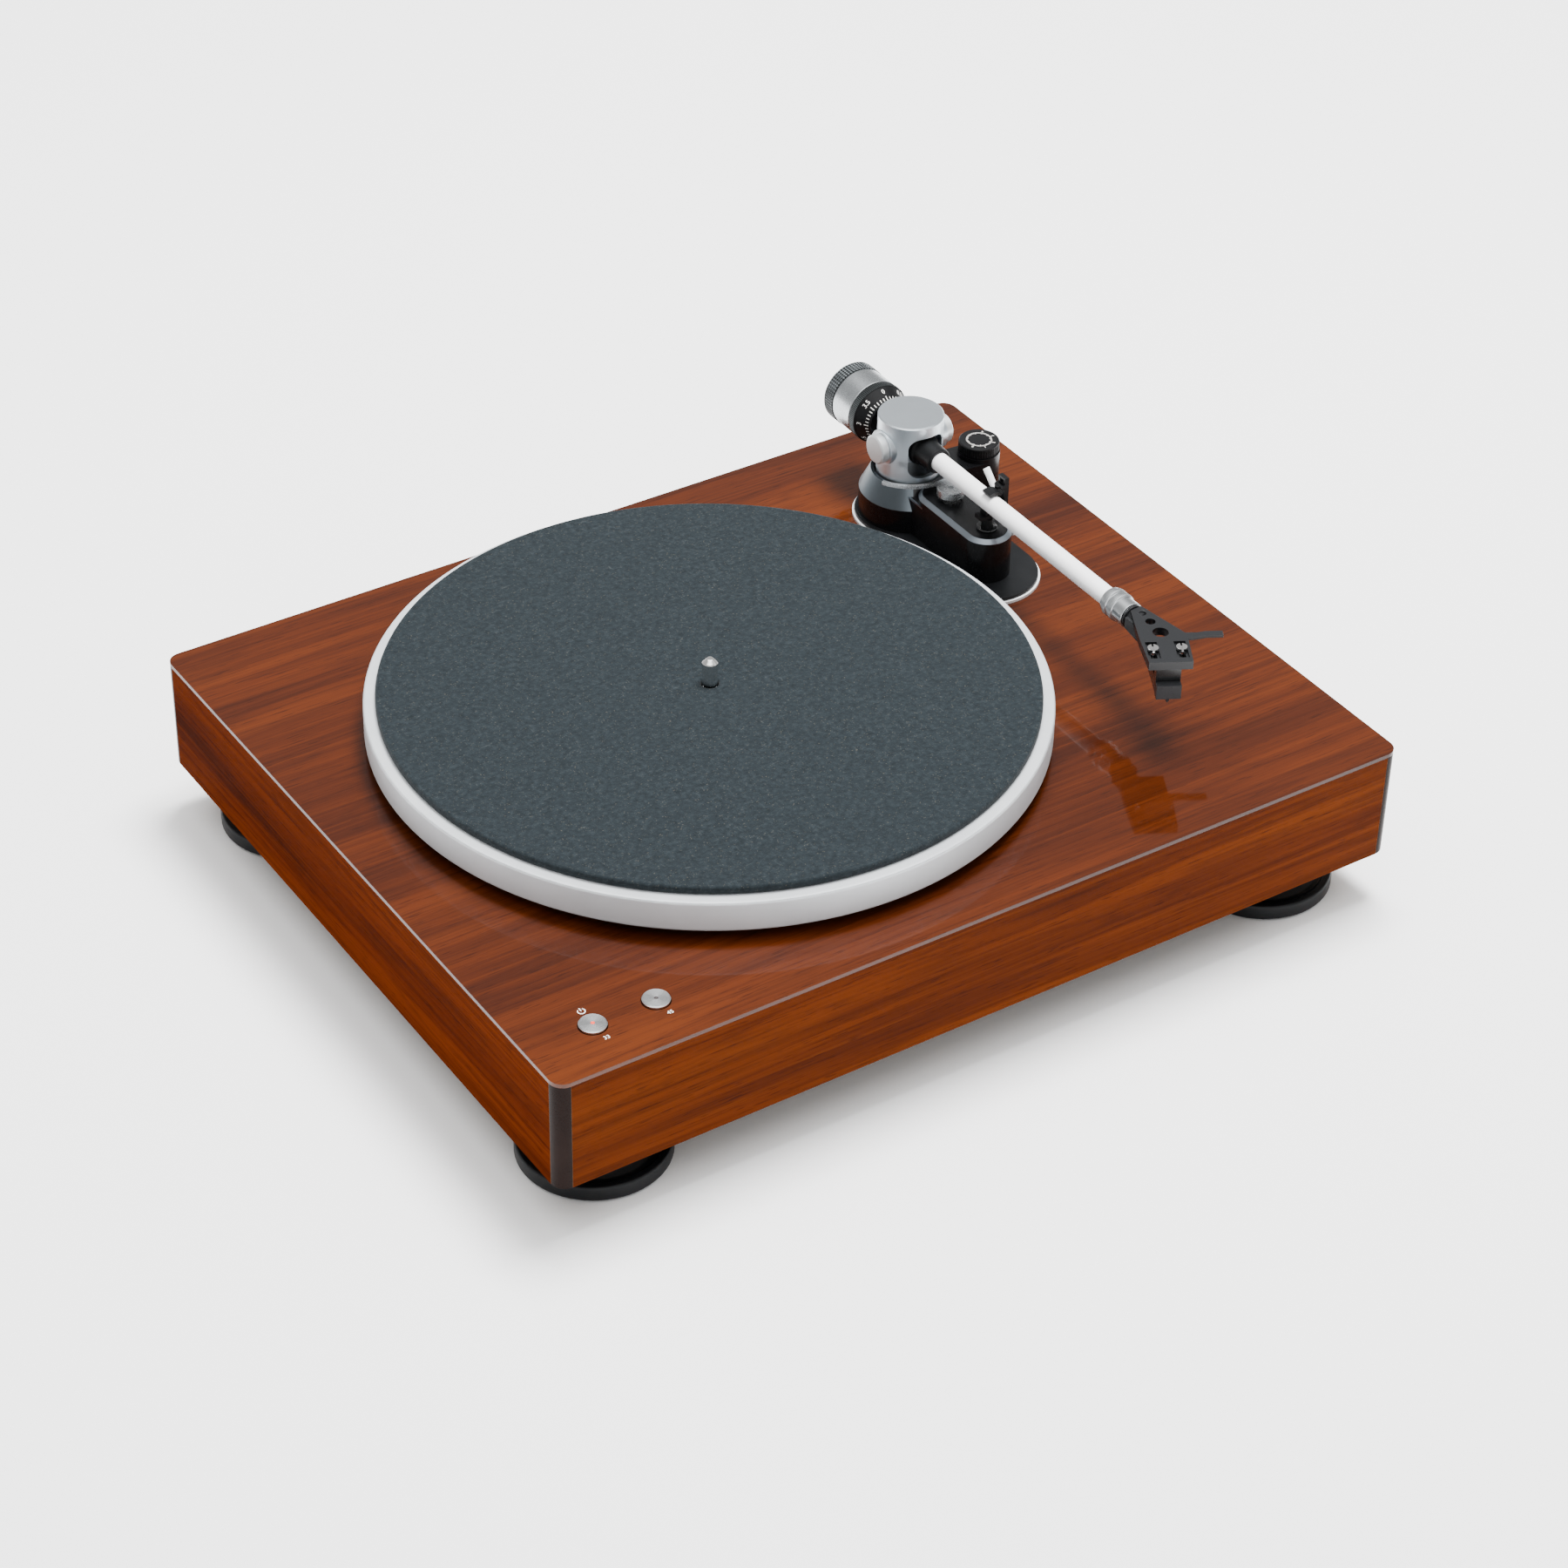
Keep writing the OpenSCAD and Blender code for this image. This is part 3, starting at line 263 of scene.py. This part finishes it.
ALONG_X, ALONG_Y, ALONG_Z = 0, 1, 2
wood_top = veneer("walnut_top", ALONG_X, (0.082, 0.0165, 0.0018), (0.054, 0.0098, 0.001), (0.024, 0.004, 0.0006),
                  seed=2.3, coat=0.7, level=0.04)
wood_front = veneer("walnut_front", ALONG_X, (0.125, 0.0245, 0.0006), (0.086, 0.0145, 0.0004),
                    (0.034, 0.005, 0.0002), seed=5.1, coat=0.03, level=0.01)
# the side veneer is a darker copy of the front's walnut: painted shade on the sides, while its grain along Y is real
wood_side_shaded = veneer("walnut_side_shaded", ALONG_Y, (0.1, 0.0155, 0.0006), (0.066, 0.009, 0.0003), (0.03, 0.004, 0.0002),
                   seed=8.7, coat=0.02, level=0.0)
wood_raw = veneer("raw_board", ALONG_X, (0.26, 0.15, 0.075), (0.2, 0.11, 0.05), (0.12, 0.065, 0.03),
                  seed=11.0, coat=0.0, level=0.1, coat_rough=0.5)
corner_dark = plastic("corner_lacquer", (0.008, 0.003, 0.002), 0.3, 1800, 0.0, coat=0.06, level=0.03)
felt_mat = felt("felt")
platter_silver = metal("platter_silver", rgb("#d6dadd"), 0.5, 0.02, 2600, metallic=0.45)
housing_silver = metal("housing_silver", rgb("#e0e8ee"), 0.36, 0.03, 2400)
tube_silver = metal("tube_silver", rgb("#fbfbfc"), 0.4, 0.02, 2600, metallic=0.1, mottle=0.01)
cap_faces = metal("cap_faces", rgb("#dcdfe0"), 0.34, 0.0, 2400, metallic=0.7)
weight_silver = spun("weight_silver", rgb("#c2c6c9"), 0.28, ARM_PIVOT, ALONG_Y, 0.0005, 0.06)
lift_silver = metal("lift_silver", rgb("#bcbfc1"), 0.26, 0.0, 2400, metallic=0.9)
collar_silver = metal("collar_silver", rgb("#c3c6c8"), 0.3, 0.02, 2400)
chrome = metal("chrome", rgb("#ecebea"), 0.06, 0.0, 700, spread=0.03, mottle=0.01)
steel = metal("steel", rgb("#a9abad"), 0.34, 0.05, 1200)
knurl_dark = metal("knurl_dark", rgb("#4a4f50"), 0.38, 0.08, 1600)
brass = metal("gold", rgb("#d8b25a"), 0.2, 0.02, 1500)
bronze = metal("bronze", rgb("#a9773f"), 0.4, 0.08, 1500)
anodised = metal("anodised_black", rgb("#1f2022"), 0.32, 0.05, 2600, metallic=0.35, coat=0.1)
base_black = plastic("base_black", (0.0025, 0.0026, 0.003), 0.3, 2600, 0.03, coat=0.15)
plate_black = plastic("plate_black", (0.004, 0.0044, 0.005), 0.42, 2600, 0.05)
cone_grey = metal("cone_grey", rgb("#5c6368"), 0.34, 0.03, 2400)
trim_grey = metal("trim_grey", rgb("#8e969e"), 0.32, 0.03, 2400)
# the chrome base trim is near-white and little metallic: its white is a painted highlight for the light the chrome
# reflects
trim_painted_highlight = metal("trim_painted_highlight", rgb("#f4f5f6"), 0.3, 0.02, 2400, metallic=0.3, mottle=0.01)
soft_black = plastic("soft_black", (0.003, 0.0032, 0.0036), 0.4, 2200, 0.06)
gloss_black = plastic("gloss_black", rgb("#0e0f10"), 0.16, 2200, 0.02, coat=0.6)
foot_black = plastic("foot_black", (0.0035, 0.004, 0.005), 0.42, 1800, 0.05)
rubber = plastic("rubber", rgb("#1c1c1c"), 0.8, 900, 0.3)
acetal = plastic("acetal", rgb("#d9d5c8"), 0.5, 900, 0.05, lift=0.05)
board_green = plastic("board_green", rgb("#175230"), 0.35, 600, 0.05, coat=0.3)
lens_red = plastic("lens_red", rgb("#f0442c"), 0.2, 600, 0.01, coat=0.5, lift=0.1)
lens_dark = plastic("lens_dark", rgb("#3a3434"), 0.2, 600, 0.01, coat=0.5)
print_white = plastic("print_white", rgb("#e8e6e1"), 0.5, 2600, 0.03, lift=0.02)
stylus_grey = plastic("stylus_grey", rgb("#2a2b2d"), 0.3, 1500, 0.04, coat=0.3)


def knurled(name, groove_shade, crest_highlight, rough, centre, count, cross, rim):
    """Diamond knurling about the Y axis: `cross` turns the two sets of ridges, and it is plain inside `rim`. Its
    colour is painted shade in the grooves and painted highlight on the crests.
    """
    t = Tree(name, Metallic=0.5, Specular_IOR_Level=0.3)
    where = t.add("TexCoord").outputs["Object"]
    off = t.add("VectorMath", {0: where, 1: tuple(-c for c in centre)}, operation="ADD").outputs[0]
    x, y, z = t.add("SeparateXYZ", {0: off}).outputs
    turn = t.math("MULTIPLY", t.math("ARCTAN2", z, x), count)
    rise = t.math("MULTIPLY", y, cross)
    ridge = t.math("MULTIPLY", t.math("SINE", t.math("ADD", turn, rise)),
                   t.math("SINE", t.math("SUBTRACT", turn, rise)))
    radius = t.math("SQRT", t.math("ADD", t.math("POWER", x, 2.0), t.math("POWER", z, 2.0)))
    ridge = t.math("MULTIPLY", ridge, t.span(radius, rim - 0.0002, rim))
    # the base colour runs from painted shade in the grooves to painted highlight on the crests
    t.set("Base Color", t.mix(t.span(ridge, -0.2, 0.7), (*groove_shade, 1), (*crest_highlight, 1)))
    t.set("Roughness", t.span(ridge, 0.0, 1.0, rough + 0.1, rough - 0.1))
    t.bump(ridge, 0.6, 0.0003)
    return t.mat


# the dark and the light colour are the knurl's painted shade and painted highlight
grip_knurl = knurled("grip_knurl", rgb("#141617"), rgb("#7c8285"), 0.4, ARM_PIVOT, 30, 2300.0, 0.0152)


def button_face(node):
    return spun(node + "_face", rgb("#dcddde"), 0.22, mid(node), ALONG_Z, 0.0005, 0.3)


# ---------------------------------------------------------------- dressing the CAD nodes


def smooth_by_angle(mesh, degrees):
    """Smooth shading with sharp edges where the faces meet at more than `degrees`."""
    mesh.polygons.foreach_set("use_smooth", [True] * len(mesh.polygons))
    bm = bmesh.new()
    bm.from_mesh(mesh)
    flat = math.radians(degrees)
    sharp = [e.calc_face_angle(0) > flat for e in bm.edges]
    bm.free()
    for edge, value in zip(mesh.edges, sharp):
        edge.use_edge_sharp = value


CREASE = 32  # degrees between faces from which an edge counts as sharp
WELD_REACH = 2e-6


def finish_mesh(obj, bevel=0.0, weld=True):
    """Rounded edges and clean shading, as modifiers so that the mesh under them stays as it is."""
    if weld:
        mod = obj.modifiers.new("weld", "WELD")
        mod.merge_threshold = WELD_REACH
    if bevel:
        mod = obj.modifiers.new("edge", "BEVEL")
        mod.width = bevel * MM
        mod.segments = 2
        mod.limit_method = "ANGLE"
        mod.angle_limit = math.radians(CREASE)
        mod.use_clamp_overlap = True
        mod.harden_normals = True
        mod.miter_outer = "MITER_ARC"
    for polygon in obj.data.polygons:
        polygon.use_smooth = True
    mod = obj.modifiers.new("normals", "WEIGHTED_NORMAL")
    mod.keep_sharp = True
    mod.weight = 80


def paint(obj, *materials):
    obj.data.materials.clear()
    for material in materials:
        obj.data.materials.append(material)


DRESS = {
    "corner_posts": (corner_dark, 0.15), "bottom_panel": (soft_black, 0.3), "panel_screws": (steel, 0.0),
    "feet": (foot_black, 0.5), "foot_pads": (rubber, 0.3), "foot_bolts": (steel, 0.2),
    "bearing_housing": (steel, 0.3), "bearing_bush": (bronze, 0.0), "thrust_ball": (chrome, 0.0),
    "spindle": (chrome, 0.35), "sub_platter": (acetal, 0.3), "motor": (steel, 0.5), "deck_screws": (steel, 0.15),
    "motor_shaft": (steel, 0.1), "motor_pulley": (bronze, 0.1), "drive_belt": (rubber, 0.0),
    "control_board": (board_green, 0.1), "button_guide": (soft_black, 0.3),
    "led_lens_33": (lens_red, 0.0), "led_lens_45": (lens_dark, 0.0), "button_spring_33": (steel, 0.0),
    "button_spring_45": (steel, 0.0), "terminal_plate": (plate_black, 0.3), "rca_sockets": (brass, 0.2),
    "ground_washer": (steel, 0.1), "ground_nut": (lift_silver, 0.15), "power_jack": (soft_black, 0.2),
    "base_trim": (trim_painted_highlight, 0.6), "base_plate": (plate_black, 0.5), "arm_base": (base_black, 0.35),
    "yaw_bearings": (steel, 0.1), "arm_mount_nut": (steel, 0.4), "yaw_spindle": (steel, 0.1),
    "pivot_housing": (housing_silver, 0.45), "pivot_caps": (cap_faces, 0.5), "arm_hub": (anodised, 0.3),
    "arm_sleeve": (soft_black, 0.25), "arm_tube": (tube_silver, 0.0), "lock_collar": (collar_silver, 0.1),
    "headshell": (anodised, 0.3), "cartridge_screws": (chrome, 0.12), "cartridge": (gloss_black, 0.35),
    "stylus": (stylus_grey, 0.3), "weight_carrier": (acetal, 0.1), "counterweight": (weight_silver, 0.4),
    "weight_grip": (grip_knurl, 0.12), "force_dial": (soft_black, 0.2), "arm_rest": (soft_black, 0.2),
    "rest_collar": (gloss_black, 0.3), "rest_clip": (soft_black, 0.15), "cue_lever": (tube_silver, 0.3),
    "cue_lift": (lift_silver, 0.2), "skate_dial": (soft_black, 0.15), "finger_lift": (anodised, 0.2),
    "felt_mat": (felt_mat, 1.2), "platter": (platter_silver, 0.6),
    "button_33": (button_face("button_33"), 0.15), "button_45": (button_face("button_45"), 0.15),
    "top_panel": (wood_top, 0.9), "plinth_frame": (wood_raw, 0.2),
}
for node, (material, bevel) in DRESS.items():
    obj = frame["nodes"][node]
    paint(obj, material)
    finish_mesh(obj, bevel)

# ---------------------------------------------------------------- mesh helpers


def piece(name, verts, faces, material, body, slot, place, degrees=CREASE):
    """A new mesh piece. Its points are in millimetres in `place`, a matrix in the row frame."""
    mesh = bpy.data.meshes.new(name)
    mesh.from_pydata([Vector(v) * MM for v in verts], [], faces)
    mesh.transform(place)
    mesh.validate()
    bm = bmesh.new()
    bm.from_mesh(mesh)
    bmesh.ops.recalc_face_normals(bm, faces=bm.faces)
    bm.to_mesh(mesh)
    bm.free()
    mesh.materials.append(material)
    obj = bpy.data.objects.new(name, mesh)
    bpy.context.scene.collection.objects.link(obj)
    smooth_by_angle(mesh, degrees)
    finish_mesh(obj, weld=False)
    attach(obj, body)


def stadium_path(r, y1, y2, steps=48):
    """Outline of a plate with two round ends from y1 to y2, y1 below y2."""
    path = []
    for i in range(steps + 1):
        a = math.pi + math.pi * i / steps
        path.append((r * math.cos(a), y1 + r * math.sin(a)))
    for i in range(steps + 1):
        a = math.pi * i / steps
        path.append((r * math.cos(a), y2 + r * math.sin(a)))
    return path


def loft(rings):
    """Faces between closed rings of the same number of points."""
    verts = [p for ring in rings for p in ring]
    count = len(rings[0])
    faces = []
    for i in range(len(rings) - 1):
        for k in range(count):
            m = (k + 1) % count
            faces.append((i * count + k, i * count + m, (i + 1) * count + m, (i + 1) * count + k))
    return verts, faces


def words(name, text, size, body, place, thick=0.04, bend=None):
    """Figures as thin raised print. `bend` maps a point in millimetres to its place on a curved face."""
    curve = bpy.data.curves.new(name, "FONT")
    curve.body = text
    curve.size = size
    curve.align_x = "CENTER"
    curve.align_y = "CENTER"
    curve.extrude = thick / 2
    curve.resolution_u = 4
    holder = bpy.data.objects.new(name + "_text", curve)
    bpy.context.scene.collection.objects.link(holder)
    bpy.context.view_layer.update()
    mesh = bpy.data.meshes.new_from_object(holder.evaluated_get(bpy.context.evaluated_depsgraph_get()))
    bpy.data.objects.remove(holder)
    for vertex in mesh.vertices:
        vertex.co = Vector(bend(*vertex.co)) if bend else vertex.co
    mesh.transform(Matrix.Scale(MM, 4))
    mesh.transform(place)
    mesh.materials.clear()
    mesh.materials.append(print_white)
    obj = bpy.data.objects.new(name, mesh)
    bpy.context.scene.collection.objects.link(obj)
    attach(obj, body)


BOX_FACES = ((0, 1, 3, 2), (4, 6, 7, 5), (0, 4, 5, 1), (2, 3, 7, 6), (0, 2, 6, 4), (1, 5, 7, 3))


def join_boxes(boxes):
    """Points and faces of several boxes of eight corners each, which change fastest in z and slowest in x."""
    verts, faces = [], []
    for corners in boxes:
        base = len(verts)
        verts += corners
        faces += [tuple(base + i for i in face) for face in BOX_FACES]
    return verts, faces


# ---------------------------------------------------------------- plinth

# the frame's outer faces are veneered, front and back along X and the sides along Y; the rest is bare board. The sides
# are the front's walnut made darker, as painted shade
plinth = frame["nodes"]["plinth_frame"]
paint(plinth, wood_raw, wood_front, wood_side_shaded)
FRONT_SLOT, SIDE_SLOT, NEAR = 1, 2, 0.01
for polygon in plinth.data.polygons:
    spot = polygon.center / MM
    if abs(spot.y) > HALF_D - NEAR:
        polygon.material_index = FRONT_SLOT
    elif abs(spot.x) > HALF_W - NEAR:
        polygon.material_index = SIDE_SLOT

# print beside the buttons
PRINT_Z = TOP + 0.03
FIGURE_SIZE, FIGURE_RIGHT, FIGURE_FRONT = 2.9, 1.0, 9.4
SYMBOL_RIGHT, SYMBOL_BACK = 0.6, 9.9


def beside(button, right_by, back_by):
    """A place on the top panel, off the middle of a button."""
    middle = mid(button) / MM
    return Matrix.Translation(Vector((middle.x + right_by, middle.y + back_by, PRINT_Z)) * MM)


for figure in ("33", "45"):
    words("print_" + figure, figure, FIGURE_SIZE, "plinth",
          beside("button_" + figure, FIGURE_RIGHT, -FIGURE_FRONT))


def power_symbol():
    """An open ring with a bar in its gap, as thin print."""
    r, w, gap, steps = 1.55, 0.42, 38, 40
    verts, faces = [], []
    for i in range(steps + 1):
        a = math.radians(90 + gap + (360 - 2 * gap) * i / steps)
        for q in (r - w / 2, r + w / 2):
            for z in (0, 0.04):
                verts.append((q * math.cos(a), q * math.sin(a), z))
    for i in range(steps):
        b, n = 4 * i, 4 * i + 4
        faces += [(b + 1, b + 3, n + 3, n + 1), (b, n, n + 2, b + 2), (b, b + 1, n + 1, n),
                  (b + 2, n + 2, n + 3, b + 3)]
    base = len(verts)
    verts += [(x, y, z) for x in (-w / 2, w / 2) for y in (0.1, 2.1) for z in (0, 0.04)]
    faces += [tuple(base + i for i in face) for face in BOX_FACES if face != (0, 2, 6, 4)]
    return verts, faces


piece("print_power", *power_symbol(), print_white, "plinth", "walnut",
      beside("button_33", SYMBOL_RIGHT, SYMBOL_BACK))

# ---------------------------------------------------------------- tonearm base trims

TOWER_R, TOWER_LOW, TOWER_TOP_R, TOWER_HIGH, WELL_R = 23.5, 15.3, 18.2, 25.7, 16.6
cone = [(TOWER_R + 0.04, TOWER_LOW - 0.2), (TOWER_R + 0.06, TOWER_LOW), (TOWER_TOP_R + 0.06, TOWER_HIGH + 0.04),
        (WELL_R + 0.1, TOWER_HIGH + 0.06), (WELL_R + 0.1, TOWER_HIGH - 1.0)]
CONE_FROM, CONE_TO = -62, 242


def arc_shell(profile, start, end, steps=120):
    """A thin shell: a profile turned about Z from start to end degrees."""
    verts, faces = [], []
    count = len(profile)
    for i in range(steps + 1):
        a = math.radians(start + (end - start) * i / steps)
        verts += [(r * math.cos(a), r * math.sin(a), z) for r, z in profile]
    for i in range(steps):
        for k in range(count - 1):
            b = i * count + k
            faces.append((b, b + count, b + count + 1, b + 1))
    return verts, faces


piece("tower_cone", *arc_shell(cone, CONE_FROM, CONE_TO), cone_grey, "plinth", "arm_silver", BASE, degrees=25)

POD_R, POD_TOP_R, POD_LOW, POD_HIGH = 11.7, 10.0, 24.5, 26.3
POD_FRONT, POD_BACK = -64.1, -28.9
rings = []
for r, z in ((POD_R + 0.05, POD_LOW - 0.25), (POD_R + 0.06, POD_LOW), (POD_TOP_R + 0.05, POD_HIGH + 0.04),
             (POD_TOP_R - 0.25, POD_HIGH + 0.04)):
    rings.append([(x, y, z) for x, y in stadium_path(r, POD_FRONT, POD_BACK)])
piece("pod_trim", *loft(rings), trim_grey, "plinth", "arm_silver", BASE, degrees=20)

# a bright edge on the block that joins the tower and the pod
BRIDGE_EDGE, BRIDGE_TOP = -POD_R, 21.5
SKIN = 0.05
edge_faces = [[(BRIDGE_EDGE - SKIN, y, z) for y in (-28.6, -16.9) for z in (BRIDGE_TOP - 0.7, BRIDGE_TOP + SKIN)],
              [(x, y, BRIDGE_TOP + SKIN) for y in (-28.6, -16.9) for x in (BRIDGE_EDGE - SKIN, BRIDGE_EDGE + 0.9)]]
piece("bridge_edge", [v for face in edge_faces for v in face], [(0, 1, 3, 2), (4, 5, 7, 6)], trim_grey, "plinth",
      "arm_silver", BASE)

# ---------------------------------------------------------------- force dial figures and knurl

DIAL_BACK, DIAL_BAND, DIAL_FRONT, CONE_R0, CONE_R1 = -30.0, -25.6, -18.5, 14.7, 10.3
WEIGHT_R = 15.1


def on_cone(angle, lift=0.03):
    """Maps (across, along, out) on the dial's cone, at an angle about the arm, to the arm's frame."""
    run = Vector((DIAL_FRONT - DIAL_BAND, CONE_R1 - CONE_R0))
    length = run.length
    out = Vector((-run.y, run.x)) / length

    def place(x, y, z):
        s = 0.5 - y / length
        u = DIAL_BAND + run.x * s + out.x * (z + lift)
        r = CONE_R0 + run.y * s + out.y * (z + lift)
        a = angle + x / r
        return (u, r * math.sin(a), r * math.cos(a))
    return place


figures = ["0", "0.5", "1", "1.5", "2", "2.5", "3", "3.5"]
for i, text in enumerate(figures):
    angle = math.radians(45 * i)
    name = "dial_figure_" + text.replace(".", "_")
    place = on_cone(angle)
    words(name, text, 3.3, "force_dial", ARM,
          bend=lambda x, y, z, place=place: place(x, y + 1.7, z))

ticks = []
for i in range(40):
    place = on_cone(math.radians(9 * i))
    long = 2.3 if i % 5 == 0 else 1.6
    ticks.append([place(x, y, z) for x in (-0.19, 0.19) for y in (-3.1, -3.1 + long) for z in (-0.02, 0.03)])
piece("dial_ticks", *join_boxes(ticks), print_white, "force_dial", "black_plastic", ARM)


def ribbed(radius, low, high, count, depth, steps_each=6):
    """A ribbed band about Z: rounded ridges that fade at both ends."""
    profile = [(radius - depth, low), (radius, low + 0.35), (radius, high - 0.35), (radius - depth, high)]
    steps = count * steps_each

    def shape(r, z, a):
        if r < radius - 0.01:
            return r
        return r - depth * (0.5 + 0.5 * math.cos(a * count))
    verts, faces = [], []
    n = len(profile)
    for i in range(steps):
        a = 2 * math.pi * i / steps
        verts += [(shape(r, z, a) * math.cos(a), shape(r, z, a) * math.sin(a), z) for r, z in profile]
    for i in range(steps):
        j = (i + 1) % steps
        faces += [(i * n + k, j * n + k, j * n + k + 1, i * n + k + 1) for k in range(n - 1)]
    return verts, faces


piece("dial_knurl", *ribbed(WEIGHT_R + 0.12, DIAL_BACK + 0.25, DIAL_BAND - 0.05, 110, 0.2), knurl_dark, "force_dial",
      "knurl_dark", ARM @ TURN_TO_U, degrees=60)
COLLAR_R = 6.84
for name, low, high in (("collar_knurl", 165.7, 168.7), ("collar_knurl_rear", 161.8, 164.3)):
    piece(name, *ribbed(COLLAR_R, low, high, 60, 0.18), collar_silver, "headshell_lock", "arm_silver",
          ARM @ TURN_TO_U, degrees=60)

# ---------------------------------------------------------------- anti-skate dial print

skate_at = Vector(JOINTS["skate_dial_turn"]["pos_m"])
SKATE = Matrix.Translation((skate_at.x, skate_at.y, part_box("skate_dial")[1].z))
SKATE_START, MARK_STEP, FIGURE_STEP = -150, 8.0, 48
marks = []
for i in range(45):
    a = math.radians(SKATE_START + MARK_STEP * i)
    direction = Vector((math.cos(a), math.sin(a), 0))
    side = Vector((-direction.y, direction.x, 0))
    inner_r, outer_r = (5.1, 6.3) if i % 4 == 0 else (5.5, 6.3)
    marks.append([tuple(direction * r + side * s + Vector((0, 0, z)))
                  for r in (inner_r, outer_r) for s in (-0.14, 0.14) for z in (0.0, 0.03)])
piece("skate_marks", *join_boxes(marks), print_white, "skate_dial", "black_plastic", SKATE)
piece("skate_knurl", *ribbed(9.9, -5.2, -0.45, 48, 0.35), soft_black, "skate_dial", "black_plastic", SKATE,
      degrees=60)
for i, text in enumerate("01234"):
    a = math.radians(SKATE_START + FIGURE_STEP * i)
    at = SKATE @ Matrix.Translation((7.4 * MM * math.cos(a), 7.4 * MM * math.sin(a), 0.0)) @ Matrix.Rotation(
        a + math.pi / 2, 4, "Z")
    words("skate_figure_" + text, text, 2.0, "skate_dial", at, 0.05)

# ---------------------------------------------------------------- floor, world and light

bpy.ops.mesh.primitive_plane_add(size=1, location=(0, 0, 0))
floor = bpy.context.object
floor.name = "floor"
floor.scale = (14, 14, 1)
floor_tree = Tree("floor", Roughness=0.9, Specular_IOR_Level=0.1)
floor_noise = floor_tree.noise(floor_tree.coords(), 6, 2)
floor_tree.set("Base Color", floor_tree.mix(floor_noise, (0.93, 0.93, 0.93, 1), (0.95, 0.95, 0.95, 1)))
paint(floor, floor_tree.mat)

world = bpy.data.worlds.new("studio")
bpy.context.scene.world = world
world.use_nodes = True
sky = world.node_tree
sky_links, sky_nodes = sky.links, sky.nodes
upward = sky_nodes.new("ShaderNodeSeparateXYZ")
sky_links.new(sky_nodes.new("ShaderNodeTexCoord").outputs["Generated"], upward.inputs[0])
shade = sky_nodes.new("ShaderNodeValToRGB")
sky_links.new(upward.outputs["Z"], shade.inputs["Fac"])
SKY = [(0.0, 0.3), (0.25, 0.22), (0.42, 0.2), (0.72, 0.2), (0.86, 1.25), (1.0, 1.25)]
SKY_STRENGTH = 2.8
while len(shade.color_ramp.elements) < len(SKY):
    shade.color_ramp.elements.new(0.5)
for element, (height, level) in zip(shade.color_ramp.elements, SKY):
    element.position = height
    element.color = (level, level, level, 1)
sky_links.new(shade.outputs[0], sky_nodes["Background"].inputs["Color"])
sky_nodes["Background"].inputs["Strength"].default_value = SKY_STRENGTH


AIM = (0, 0, 0.05)


def soft_light(name, at, size, power):
    """A rectangular light of `power` watts, aimed at the middle of the plinth."""
    data = bpy.data.lights.new(name, "AREA")
    data.shape = "RECTANGLE"
    data.size, data.size_y = size
    data.energy = power
    obj = bpy.data.objects.new(name, data)
    bpy.context.scene.collection.objects.link(obj)
    obj.location = at
    obj.rotation_euler = (Vector(AIM) - Vector(at)).to_track_quat("-Z", "Y").to_euler()
    return obj


# the key is left out of reflections, so that it does not show as a white patch in the lacquer
key = soft_light("key", (0.55, 0.25, 2.6), (1.1, 0.9), 205)
key.visible_glossy = False
soft_light("fill", (1.8, -1.2, 1.8), (1.4, 1.4), 3)
soft_light("front", (-1.0, -2.4, 1.3), (1.4, 1.0), 12)
